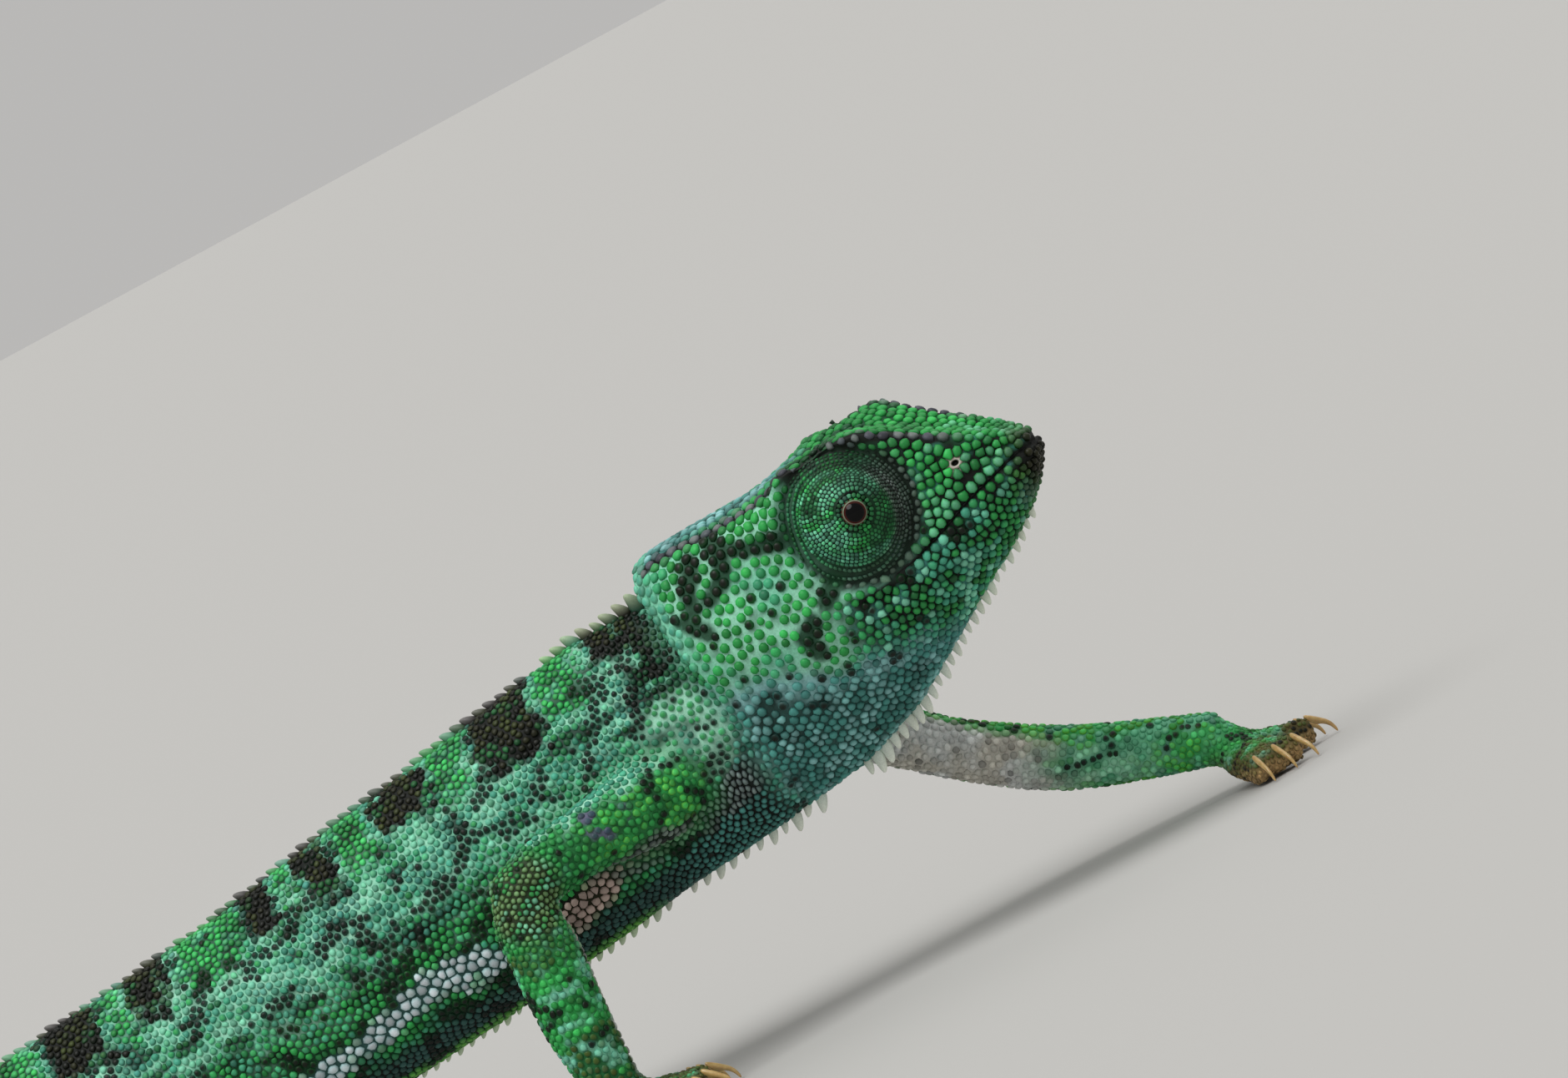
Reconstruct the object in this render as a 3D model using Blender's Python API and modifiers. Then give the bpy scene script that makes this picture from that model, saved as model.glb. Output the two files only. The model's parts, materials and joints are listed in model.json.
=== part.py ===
"""A flap-necked chameleon that walks with its head raised, as a still, life-size model.

Sizes are in millimetres and become metres as each mesh is made. +X is forward, +Y is the
animal's left and +Z is up. The body is a row of cross-sections placed along the spine: the
trunk and neck are ovals, the head has sections of its own, and the tail goes on as a tube
into a flat coil. Legs and toes are tubes too. Neighbours are parted by thin cuts.
"""

import math
from bisect import bisect_right

import bmesh
import bpy
from mathutils import Matrix, Vector

MM = 0.001
CUT = 0.3  # width of the cuts that part the body into its named lengths

# Spine: stations are counted along it, with the tail's root negative and the head positive.
TAIL_ROOT, NECK_START, NECK_END = -88.0, 3.0, 13.0
HEAD_TURN, HEAD_ROLL = math.radians(-10), math.radians(5)
ROLL_HEIGHT = 33.0  # height of the line that the head rolls about
NAPE_HEIGHT, THROAT_HEIGHT, NAPE_LEAN = 42.0, 30.0, 0.33  # the head's rear edge slants forward
STATION_STEP = 5.0
CURVE_STEPS = 24  # steps between two knots, from which even steps of length are read
TRUNK_SIDES, TAIL_SIDES, LEG_SIDES, TOE_SIDES, CLAW_SIDES = 18, 10, 10, 6, 4

# Trunk and neck, each as (station, value): back line, belly line and half the width.
BACK = ((-88, 26.0), (-78, 28.4), (-66, 30.6), (-55, 32.1), (-45, 33.1), (-35, 34.4),
        (-25, 36.2), (-15, 37.7), (-5, 39.4), (4, 40.9), (9, 41.0), (13, 40.7))
BELLY = ((-88, 17.6), (-82, 16.3), (-74, 14.4), (-60, 12.4), (-45, 11.7), (-30, 12.1),
         (-20, 12.9), (-8, 14.3), (5, 16.2), (13, 17.4))
HALF_WIDTH = ((-88, 4.3), (-82, 5.0), (-74, 6.2), (-60, 7.4), (-45, 8.1), (-30, 8.4),
              (-15, 8.2), (-5, 7.9), (5, 7.1), (13, 6.5))
WIDEST = ((-88, 0.5), (-60, 0.42), (-20, 0.42), (13, 0.5))  # part of the depth below the widest
BACK_POWER, BELLY_POWER = 1.7, 2.0  # 2 is an ellipse, and less is keeled
LENGTHS = (("trunk_rear", TAIL_ROOT, -57.0), ("trunk_middle", -57.0, -24.0),
           ("trunk_front", -24.0, NECK_START), ("neck", NECK_START, NECK_END))

# Head, each as (distance from the casque's rear, value). Y values are from the middle plane.
CROWN = ((0, 44.0), (2, 44.7), (7.5, 44.9), (12, 45.0), (16, 45.5), (20, 46.0), (24, 46.1),
         (28, 44.8), (31, 43.0), (34, 41.3), (37, 39.7), (38.6, 38.7), (39.3, 38.2))
RIDGE = ((0, 43.0), (2, 43.7), (9, 44.0), (12.7, 44.1), (15.5, 44.9), (18, 46.1), (20.5, 46.6),
         (23.5, 46.9), (26.8, 46.4), (28.5, 45.3), (30.8, 43.7), (33.8, 41.9), (36.5, 40.2),
         (38.2, 39.0), (39.3, 38.2))
RIDGE_Y = ((0, 2.4), (2, 3.4), (6, 4.4), (10, 5.0), (15, 5.8), (20, 6.5), (24, 6.3), (28, 4.9),
           (31, 3.9), (34, 3.1), (36.5, 2.3), (38.2, 1.5), (39.3, 0.7))
TEMPLE_Y = ((0, 5.0), (3, 6.2), (8, 6.9), (14, 7.2), (20, 6.7), (24, 6.3), (28, 5.6), (31, 4.9),
            (34, 4.0), (36.5, 3.0), (38.3, 2.0), (39.3, 1.0))
CHEEK_Y = ((0, 7.0), (3, 7.6), (8, 8.3), (14, 8.5), (18, 8.2), (22, 7.5), (26, 6.8), (30, 5.8),
           (34, 4.6), (36.5, 3.6), (38.3, 2.4), (39.3, 1.3))
CHEEK = ((0, 33.5), (14, 33.5), (20, 33.8), (24, 34.5), (28, 35.3), (34, 36.6), (39.3, 37.5))
JAW_Y = ((0, 5.4), (8, 6.0), (14, 6.1), (20, 5.9), (26, 5.3), (30, 4.6), (34, 3.6), (37, 2.4),
         (38.6, 1.5), (39.3, 0.9))
JAW = ((0, 23.5), (8, 24.3), (14, 25.4), (20, 27.6), (26, 30.0), (30, 31.6), (34, 33.2),
       (37, 35.2), (39.3, 37.1))
KEEL = ((0, 17.5), (7.4, 18.5), (10.1, 18.9), (14, 19.9), (18.1, 21.5), (23.4, 24.7),
        (28.7, 28.0), (34, 31.1), (37, 33.4), (38.4, 35.0), (39.1, 36.2), (39.3, 36.8))
HEAD_STATIONS = (0, 1, 2.5, 5, 8, 11, 14, 16.5, 18.5, 20.5, 22.5, 24.5, 26.5, 28.5, 30.5, 32.5,
                 34.5, 36.3, 37.6, 38.5, 39.1, 39.3)
HEAD_ARC_STEPS = (2, 3, 2, 3, 3)  # faces between crown, ridge, temple, cheek, jaw and keel
TEMPLE_PART = 0.55  # part of the height from the cheek up to the ridge at which the temple lies
SLAB_HALF = 14.0  # half the width of a cut through the head
MOUTH = ((41.5, 38.5), (39.3, 38.0), (37.3, 37.8), (34.5, 37.1), (31.8, 36.3), (28.6, 35.0),
         (25.5, 34.1), (23.0, 33.5))
THROAT_TOP = ((23.0, 33.5), (19, 30.8), (14, 28.4), (7, 26.2), (-6, 24.0))
JAW_REAR = ((23.0, 33.5), (20.5, 27.0), (19.5, 15.0))

# Eyes: each is a scaly turret that bulges from the head, with the eyeball in its tip.
TURRET_AT, TURRET_Y, TURRET_HEIGHT = 22.4, 4.4, 40.3
TURRET_RADIUS, TURRET_OUT, TURRET_IN = 5.7, 5.3, 2.6
EYEBALL_RADIUS, EYEBALL_DEPTH = 1.3, 0.95
GAZE = {"right": (20, 5), "left": (32, -6)}  # degrees forward and up of straight outwards

# Crest spines as (from station, to station, spacing, height, leaning back in degrees).
BACK_SPINES = ((11.0, -4.0, 1.75, 1.5, 32), (-5.6, -36.0, 1.55, 1.0, 36),
               (-37.6, -84.0, 1.6, 0.8, 38))
BELLY_SPINES = ((11.6, -26.0, 1.5, 0.8, 12),)
THROAT_SPINES = ((18.5, 1.0, 1.35, 1.45, 6),)
CHIN_SPINES = ((36.0, 22.0, 1.3, 1.1, 6),)
SPINE_SUNK = 0.7  # how deep a spine's foot is under the skin
SPINE_BASE, SPINE_WIDE = 0.22, 0.28  # a spine's foot has this radius, plus this part of its height
SPINE_CLEAR = 0.8  # no spine stands nearer than this to the end of its length of the body

# Tail: it leaves the rump, rises a little and ends in a coil rolled down and forward.
TAIL_PATH = ((-88, 21.8), (-103, 20.4), (-118, 20.9), (-132, 23.6))
COIL_CENTRE, COIL_RADIUS, COIL_END_RADIUS, COIL_TURNS = (-145, 14.6), 12.2, 4.3, 1.3
TAIL_HEIGHT = ((0, 4.2), (0.12, 3.4), (0.35, 2.7), (0.6, 2.0), (0.85, 1.15), (1, 0.55))
TAIL_WIDTH = ((0, 4.3), (0.12, 3.2), (0.35, 2.4), (0.6, 1.8), (0.85, 1.1), (1, 0.5))
TAIL_LENGTHS = (("tail_base", 0, 0.25), ("tail_middle", 0.25, 0.5),
                ("tail_coil_outer", 0.5, 0.75), ("tail_coil_inner", 0.75, 1))
TAIL_RINGS = 40

# Legs: root inside the trunk, then joints, as (x, y, height) with radii (outwards, along).
LEGS = {
    "arm_right": {
        "upper": "upper_arm_right", "lower": "forearm_right", "foot": "hand", "side": "right",
        "path": (((8.0, -3.0, 25.4), (4.6, 4.6)), ((3.5, -7.8, 25.2), (3.5, 4.0)),
                 ((-2.8, -11.2, 25.0), (2.9, 3.2)), ((-7.7, -13.6, 23.7), (3.0, 3.2)),
                 ((-8.2, -14.2, 17.6), (3.1, 3.5)), ((-8.6, -14.3, 10.4), (2.8, 3.3)),
                 ((-8.2, -14.2, 4.8), (2.3, 2.6))),
        "toes": (("outer", 2, -16), ("inner", 3, 34)),
    },
    "arm_left": {
        "upper": "upper_arm_left", "lower": "forearm_left", "foot": "hand", "side": "left",
        "path": (((8.0, 2.5, 26.6), (4.4, 4.4)), ((14.5, 7.4, 25.0), (3.4, 3.8)),
                 ((22.0, 10.2, 20.7), (2.9, 3.0)), ((28.8, 12.2, 14.8), (2.8, 3.0)),
                 ((36.2, 12.8, 10.0), (2.9, 3.2)), ((43.8, 12.8, 7.0), (2.7, 3.0)),
                 ((50.2, 12.4, 4.9), (2.4, 2.6))),
        "toes": (("inner", 3, -54), ("outer", 2, 34)),
    },
    "leg_right": {
        "upper": "thigh_right", "lower": "shin_right", "foot": "foot", "side": "right",
        "path": (((-79.0, -1.5, 21.6), (4.4, 4.6)), ((-74.0, -6.8, 21.2), (3.5, 4.1)),
                 ((-68.0, -11.2, 20.6), (3.0, 3.4)), ((-62.6, -14.6, 18.8), (2.8, 3.0)),
                 ((-63.4, -15.4, 14.2), (2.8, 3.3)), ((-67.0, -15.2, 9.2), (2.5, 2.8)),
                 ((-69.6, -14.8, 4.6), (2.2, 2.5))),
        "toes": (("outer", 3, -30), ("inner", 2, 36)),
    },
    "leg_left": {
        "upper": "thigh_left", "lower": "shin_left", "foot": "foot", "side": "left",
        "path": (((-79.5, 1.0, 21.4), (4.4, 4.6)), ((-76.5, 6.6, 20.2), (3.5, 4.0)),
                 ((-73.4, 11.6, 17.8), (3.0, 3.3)), ((-72.2, 15.4, 14.8), (2.8, 3.0)),
                 ((-76.6, 16.0, 11.4), (2.8, 3.2)), ((-82.0, 15.4, 8.0), (2.5, 2.7)),
                 ((-87.0, 14.8, 4.6), (2.2, 2.5))),
        "toes": (("inner", 2, -34), ("outer", 3, 26)),
    },
}
LEG_RINGS = 14
KNEE_PART = 0.52  # part of a leg's path that is upper arm or thigh
TOE_WIDTH, TOE_HALF_WIDTH, TOE_HALF_HEIGHT = 1.75, 0.92, 1.85  # toes are narrow and tall
TOE_LENGTH, TOE_FAN = 3.2, 9
TOE_OVERLAP = 1.4  # how far a toe runs back into the fused part of its bundle
TOE_KEYS = ((0, 0.9, 0.85), (0.55, 1, 1), (0.88, 0.95, 0.9), (1, 0.55, 0.5))  # part, width, height
FOOT_LENGTH, FOOT_HALF_HEIGHT = 5.6, 2.0
FOOT_SET_BACK = 0.6  # how far behind the ankle's middle a bundle of toes starts
FOOT_HEIGHTS = ((0, 2.2), (0.4, 2.0), (1, FOOT_HALF_HEIGHT))
FOOT_RINGS = 5
TOES_START = 0.85  # part of the foot's length at which the toes part
CLAW_LENGTH, CLAW_RADIUS, CLAW_TIP, CLAW_BEND = 2.6, 0.46, 0.12, 78
CLAW_HEIGHT, CLAW_STEPS = 1.95, 4
SOLE_SINK = 0.25  # how far a sole is modelled under the floor before it is cut flat
SHARP_ANGLE = math.radians(50)  # edges bent by less than this are shaded smooth

# Red, green, blue and roughness.
COLOURS = {
    "skin": (0.07, 0.30, 0.12, 0.55),
    "turret": (0.03, 0.20, 0.07, 0.55),
    "hand": (0.22, 0.15, 0.05, 0.55),
    "eye": (0.01, 0.01, 0.01, 0.1),
    "claw": (0.42, 0.30, 0.10, 0.35),
}


def along(keys, s):
    """The value at s of a smooth curve through (station, value) keys that never overshoots them."""
    last = len(keys) - 2
    i = min(max(bisect_right([key[0] for key in keys], s) - 1, 0), last)
    rises = [(b[1] - a[1]) / (b[0] - a[0]) for a, b in zip(keys, keys[1:])]

    def slope(j):
        if j in (0, last + 1):
            return rises[min(j, last)]
        before, after = rises[j - 1], rises[j]
        return 2 * before * after / (before + after) if before * after > 0 else 0.0

    (s0, v0), (s1, v1) = keys[i][:2], keys[i + 1][:2]
    span = s1 - s0
    t = min(max((s - s0) / span, 0.0), 1.0)
    return (
        v0 * (1 + 2 * t) * (1 - t) ** 2
        + v1 * t * t * (3 - 2 * t)
        + span * t * (1 - t) * (slope(i) * (1 - t) - slope(i + 1) * t)
    )


def smooth_path(points, count):
    """count points at even steps of length along a Catmull-Rom curve through the given tuples."""
    knots = [Vector(p) for p in points]
    knots = [2 * knots[0] - knots[1], *knots, 2 * knots[-1] - knots[-2]]
    fine = []
    for a, b, c, d in zip(knots, knots[1:], knots[2:], knots[3:]):
        for step in range(CURVE_STEPS):
            t = step / CURVE_STEPS
            fine.append(0.5 * (2 * b + (c - a) * t + (2 * a - 5 * b + 4 * c - d) * t**2
                               + (3 * b - a - 3 * c + d) * t**3))
    fine.append(knots[-2])
    travelled = [0.0]
    for p, q in zip(fine, fine[1:]):
        travelled.append(travelled[-1] + (q - p).length)
    result = []
    for n in range(count):
        goal = travelled[-1] * n / (count - 1)
        i = min(max(bisect_right(travelled, goal) - 1, 0), len(fine) - 2)
        part = (goal - travelled[i]) / (travelled[i + 1] - travelled[i])
        result.append(fine[i].lerp(fine[i + 1], min(part, 1.0)))
    return result


def cap(mesh, ring):
    """Closes a ring by strips between its matching sides, so that a bent ring is closed evenly."""
    last = len(ring) // 2
    for i in range(last):
        corners = (ring[i], ring[i + 1], ring[-i - 1], ring[-i])
        mesh.faces.new(dict.fromkeys(corners))


def loft(rings):
    """A closed mesh through rings of as many points each, whose count is even."""
    mesh = bmesh.new()
    loops = [[mesh.verts.new(point * MM) for point in ring] for ring in rings]
    for ring, following in zip(loops, loops[1:]):
        for i, vertex in enumerate(ring):
            j = (i + 1) % len(ring)
            mesh.faces.new((vertex, ring[j], following[j], following[i]))
    cap(mesh, loops[0])
    cap(mesh, loops[-1])
    bmesh.ops.recalc_face_normals(mesh, faces=mesh.faces)
    return mesh


def headings(path):
    """The direction of travel at each point of a path."""
    last = len(path) - 1
    return [(path[min(i + 1, last)] - path[max(i - 1, 0)]).normalized() for i in range(last + 1)]


def tube(path, radii, sides, sideways, ahead_at=None):
    """A loft round a path. sideways is the rough direction of each ring's first radius."""
    rings = []
    for i, (point, ahead) in enumerate(zip(path, ahead_at or headings(path))):
        across = (sideways - ahead * sideways.dot(ahead)).normalized()
        up = ahead.cross(across)
        wide, high = radii[i]
        ring = []
        for n in range(sides):
            angle = 2 * math.pi * n / sides
            ring.append(point + across * wide * math.cos(angle) + up * high * math.sin(angle))
        rings.append(ring)
    return loft(rings)


def node(name, mesh, colour, collection="chameleon"):
    """An object made from the bmesh, in the model's collection or the cutters'."""
    data = bpy.data.meshes.new(name)
    mesh.to_mesh(data)
    mesh.free()
    obj = bpy.data.objects.new(name, data)
    bpy.data.collections[collection].objects.link(obj)
    if colour:
        data.materials.append(bpy.data.materials[colour])
    else:
        obj.hide_render = True
        obj.display_type = "WIRE"
    return obj


def grown(obj, name, distance=CUT):
    """A cutter in the shape of obj, larger by the distance all round."""
    mesh = bmesh.new()
    mesh.from_mesh(obj.data)
    mesh.normal_update()
    for vertex in mesh.verts:
        vertex.co += vertex.normal * vertex.calc_shell_factor() * distance * MM
    return node(name, mesh, None, "cutters")


def combine(obj, other, operation):
    """Joins other to obj or takes it away, at once and for good."""
    modifier = obj.modifiers.new(operation.lower(), "BOOLEAN")
    modifier.operation = operation
    modifier.object = other
    graph = bpy.context.evaluated_depsgraph_get()
    result = bpy.data.meshes.new_from_object(obj.evaluated_get(graph))
    obj.modifiers.remove(modifier)
    old = obj.data
    obj.data = result
    result.name = obj.name
    bpy.data.meshes.remove(old)
    return obj


def drop(obj):
    bpy.data.objects.remove(obj)


# ---------------------------------------------------------------- body sections


def spine_place(s):
    """The matrix that puts a cross-section drawn in the YZ plane at station s of the spine."""
    bent = min(max(s - NECK_START, 0.0), NECK_END - NECK_START)
    part = bent / (NECK_END - NECK_START)
    turn = HEAD_TURN * part
    straight = max(s - NECK_END, 0.0)
    x = min(s, NECK_END) + straight * math.cos(turn)
    y = turn * bent / 2 + straight * math.sin(turn)
    to_line = Matrix.Translation((0, 0, ROLL_HEIGHT))
    roll = to_line @ Matrix.Rotation(HEAD_ROLL * part, 4, "X") @ to_line.inverted()
    return Matrix.Translation((x, y, 0)) @ Matrix.Rotation(turn, 4, "Z") @ roll


def lean(s, z):
    """How far forward the sections near the nape are pushed at a height."""
    fade = 1 - min(abs(s - NECK_END) / (10 if s < NECK_END else 14), 1.0)
    return NAPE_LEAN * fade * min(max(NAPE_HEIGHT - z, 0), NAPE_HEIGHT - THROAT_HEIGHT)


def skin_point(s, y, z):
    return spine_place(s) @ Vector((lean(s, z), y, z))


def body_section(s):
    """One oval of the trunk or neck, keeled along the back."""
    top, bottom = along(BACK, s), along(BELLY, s)
    middle = bottom + along(WIDEST, s) * (top - bottom)
    ring = []
    for i in range(TRUNK_SIDES):
        angle = 2 * math.pi * i / TRUNK_SIDES
        side, up = math.sin(angle), math.cos(angle)
        power = 2 / (BACK_POWER if up > 0 else BELLY_POWER)
        y = along(HALF_WIDTH, s) * math.copysign(abs(side) ** power, side)
        reach = top - middle if up > 0 else middle - bottom
        z = middle + reach * math.copysign(abs(up) ** power, up)
        ring.append(skin_point(s, y, z))
    return ring


def head_section(s):
    """One outline round the head, through crown, brow ridge, temple, cheek, jaw and keel."""
    ridge, cheek = along(RIDGE, s), along(CHEEK, s)
    corners = [
        Vector((0, along(CROWN, s))),
        Vector((along(RIDGE_Y, s), ridge)),
        Vector((along(TEMPLE_Y, s), cheek + TEMPLE_PART * (ridge - cheek))),
        Vector((along(CHEEK_Y, s), cheek)),
        Vector((along(JAW_Y, s), along(JAW, s))),
        Vector((0, along(KEEL, s))),
    ]
    flip = Vector((-1, 1))
    corners = [corners[1] * flip, *corners, corners[4] * flip]
    half = []
    for a, b, c, d, steps in zip(corners, corners[1:], corners[2:], corners[3:], HEAD_ARC_STEPS):
        for step in range(steps):
            t = step / steps
            half.append(0.5 * (2 * b + (c - a) * t + (2 * a - 5 * b + 4 * c - d) * t**2
                               + (3 * b - a - 3 * c + d) * t**3))
    half.append(corners[-2])
    outline = half + [point * flip for point in reversed(half[1:-1])]
    return [skin_point(NECK_END + s, y, z) for y, z in outline]


def stations(first, last):
    count = max(round((last - first) / STATION_STEP), 2)
    return [first + (last - first) * i / count for i in range(count + 1)]


# ---------------------------------------------------------------- crests


def spines(rows, line, upward, start=0.0):
    """One mesh of small four-sided spines along a keyed line. start is the line's station 0."""
    mesh = bmesh.new()
    for first, last, spacing, height, leaning in rows:
        for n in range(int(abs(last - first) / spacing) + 1):
            s = first - n * spacing
            if any(abs(s + start - cut) < spacing / 2 for _, cut, _ in LENGTHS):
                continue
            base = skin_point(s + start, 0, along(line, s))
            slope = math.atan2(along(line, s + 0.5) - along(line, s - 0.5), 1)
            back = math.radians(leaning)
            tilt = -slope - back if upward else math.pi - slope + back
            turn = spine_place(s + start).to_3x3().to_4x4() @ Matrix.Rotation(tilt, 4, "Y")
            middle = (height - SPINE_SUNK) / 2
            place = Matrix.Translation(base * MM) @ turn @ Matrix.Translation((0, 0, middle * MM))
            bmesh.ops.create_cone(
                mesh, cap_ends=True, segments=4, radius1=(SPINE_BASE + SPINE_WIDE * height) * MM,
                radius2=0, depth=(height + SPINE_SUNK) * MM, matrix=place,
            )
    return mesh


def add_spines(obj, rows, line, upward, start=0.0):
    crest = node(obj.name + "_spines", spines(rows, line, upward, start), None, "cutters")
    combine(obj, crest, "UNION")
    drop(crest)


def rows_within(rows, first, last):
    """The rows of spines, cut to the stations from first to last."""
    kept = []
    for high, low, spacing, height, leaning in rows:
        count = math.ceil(max(high - last, 0) / spacing - 1e-9)
        start, end = high - count * spacing, max(low, first)
        if start >= end:
            kept.append((start, end, spacing, height, leaning))
    return kept


# ---------------------------------------------------------------- parts


def make_trunk():
    """Trunk and neck in lengths, with their crests. Returns a cutter in each length's shape."""
    cutters = {}
    for name, first, last in LENGTHS:
        rings = [body_section(s) for s in stations(first + CUT / 2, last - CUT / 2)]
        obj = node(name, loft(rings), "skin")
        cutters[name] = grown(obj, name + "_cut")
        low, high = first + SPINE_CLEAR, last - SPINE_CLEAR
        add_spines(obj, rows_within(BACK_SPINES, low, high), BACK, True)
        belly = rows_within(BELLY_SPINES, low, high)
        if belly:
            add_spines(obj, belly, BELLY, False)
    return cutters


def slab(points):
    """A thin curved cutter through the whole head, along an outline drawn from the side."""
    mesh = bmesh.new()
    edge = [
        [mesh.verts.new(skin_point(NECK_END + s, y, z) * MM) for y in (-SLAB_HALF, SLAB_HALF)]
        for s, z in points
    ]
    for (a, b), (c, d) in zip(edge, edge[1:]):
        mesh.faces.new((a, b, d, c))
    obj = node("head_cut", mesh, None, "cutters")
    modifier = obj.modifiers.new("thickness", "SOLIDIFY")
    modifier.thickness = CUT * MM
    modifier.offset = 0
    modifier.use_even_offset = True
    return obj


def turret(side):
    """The scaly bulge round an eye: a ball flattened inwards, with its pole outwards."""
    sign = -1 if side == "right" else 1
    mesh = bmesh.new()
    bmesh.ops.create_uvsphere(mesh, u_segments=14, v_segments=8, radius=TURRET_RADIUS)
    pole_outwards = Matrix.Rotation(math.radians(-90 * sign), 3, "X")
    bmesh.ops.rotate(mesh, verts=mesh.verts, matrix=pole_outwards)
    place = spine_place(NECK_END + TURRET_AT)
    centre = Vector((0, sign * TURRET_Y, TURRET_HEIGHT))
    for vertex in mesh.verts:
        reach = TURRET_OUT if vertex.co.y * sign > 0 else TURRET_IN
        vertex.co.y *= reach / TURRET_RADIUS
        vertex.co = place @ (vertex.co + centre) * MM
    return node("eye_turret_" + side, mesh, "turret")


def eyeball(side):
    """The small visible ball in the turret's tip, turned to the animal's gaze."""
    sign = -1 if side == "right" else 1
    forward, up = (math.radians(angle) for angle in GAZE[side])
    aim = Vector((math.sin(forward), sign * math.cos(forward) * math.cos(up), math.sin(up)))
    reach = Vector((TURRET_RADIUS, TURRET_OUT, TURRET_RADIUS))
    length = 1 / Vector((aim.x / reach.x, aim.y / reach.y, aim.z / reach.z)).length
    centre = Vector((0, sign * TURRET_Y, TURRET_HEIGHT)) + aim * (length - EYEBALL_DEPTH)
    mesh = bmesh.new()
    bmesh.ops.create_uvsphere(mesh, u_segments=8, v_segments=6, radius=EYEBALL_RADIUS * MM)
    place = Matrix.Translation(spine_place(NECK_END + TURRET_AT) @ centre * MM)
    bmesh.ops.transform(mesh, verts=mesh.verts, matrix=place)
    return node("eyeball_" + side, mesh, "eye")


def make_head():
    head = node("head", loft([head_section(s) for s in HEAD_STATIONS]), "skin")
    for side in ("right", "left"):
        bulge, ball = turret(side), eyeball(side)
        pit, socket = grown(ball, "pit"), grown(bulge, "socket")
        combine(head, socket, "DIFFERENCE")
        combine(bulge, pit, "DIFFERENCE")
        drop(pit)
        drop(socket)
    for outline in (MOUTH + THROAT_TOP[1:], JAW_REAR):
        cutter = slab(outline)
        combine(head, cutter, "DIFFERENCE")
        drop(cutter)
    jaw, throat = part_head(head)
    cutter = grown(throat, "throat_cut")
    add_spines(throat, THROAT_SPINES, KEEL, False, NECK_END)
    add_spines(jaw, CHIN_SPINES, KEEL, False, NECK_END)
    return cutter


def part_head(head):
    """Splits what the slabs left into skull, lower jaw and throat, told apart by their middles."""
    bpy.context.view_layer.objects.active = head
    head.select_set(True)
    bpy.ops.mesh.separate(type="LOOSE")
    pieces = list(bpy.context.selected_objects)

    def middle(obj):
        return sum((vertex.co for vertex in obj.data.vertices), Vector()) / len(obj.data.vertices)

    pieces.sort(key=lambda obj: middle(obj).z, reverse=True)
    skull = pieces[0]
    throat, jaw = sorted(pieces[1:], key=lambda obj: middle(obj).x)
    named = ((skull, "head"), (jaw, "lower_jaw"), (throat, "throat"))
    for obj, name in named:
        obj.name = "parted_" + name  # frees the names, since one piece still holds the head's
    for obj, name in named:
        obj.name = name
        obj.data.name = name
        obj.select_set(False)
    return jaw, throat


def make_tail():
    centre_x, centre_z = COIL_CENTRE
    points = [(x, 0, z) for x, z in TAIL_PATH]
    steps = round(COIL_TURNS * 12)
    for step in range(steps + 1):
        part = step / steps
        angle = math.radians(90) + 2 * math.pi * COIL_TURNS * part
        radius = COIL_RADIUS + (COIL_END_RADIUS - COIL_RADIUS) * part
        points.append((centre_x + radius * math.cos(angle), 0, centre_z + radius * math.sin(angle)))
    path = smooth_path(points, TAIL_RINGS + 1)
    ahead = headings(path)
    ahead[0] = Vector((-1, 0, 0))  # square to the trunk's last section
    sideways = Vector((0, 1, 0))
    length = sum((q - p).length for p, q in zip(path, path[1:]))
    for name, first, last in TAIL_LENGTHS:
        start, end = round(first * TAIL_RINGS), round(last * TAIL_RINGS)
        piece = trimmed(path, ahead, start, end)
        parts = [n / TAIL_RINGS for n in range(start, end + 1)]
        radii = [(along(TAIL_WIDTH, part), along(TAIL_HEIGHT, part)) for part in parts]
        node(name, tube(piece, radii, TAIL_SIDES, sideways, ahead[start : end + 1]), "skin")
    print(f"tail length {length:.0f} mm")


def trimmed(path, ahead, start, end):
    """The points of a path from start to end, set in by half a cut at both ends."""
    piece = path[start : end + 1]
    piece[0] = piece[0] + ahead[start] * CUT / 2
    piece[-1] = piece[-1] - ahead[end] * CUT / 2
    return piece


def make_leg(leg, trunk_cutters):
    joints = [point for point, _ in leg["path"]]
    path = smooth_path(joints, LEG_RINGS + 1)
    keys = [
        tuple((i / (len(joints) - 1), radii[axis]) for i, (_, radii) in enumerate(leg["path"]))
        for axis in (0, 1)
    ]
    radii = [tuple(along(key, n / LEG_RINGS) for key in keys) for n in range(LEG_RINGS + 1)]
    outwards = Vector((0, -1 if leg["side"] == "right" else 1, 0))
    ahead = headings(path)
    made = []
    knee = round(KNEE_PART * LEG_RINGS)
    for name, start, end in ((leg["upper"], 0, knee), (leg["lower"], knee, LEG_RINGS)):
        piece = trimmed(path, ahead, start, end)
        limb = tube(piece, radii[start : end + 1], LEG_SIDES, outwards, ahead[start : end + 1])
        made.append(node(name, limb, "skin"))
    upper, lower = made
    for cutter in trunk_cutters:
        combine(upper, cutter, "DIFFERENCE")
    make_foot(leg, path[-1], lower)


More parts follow.
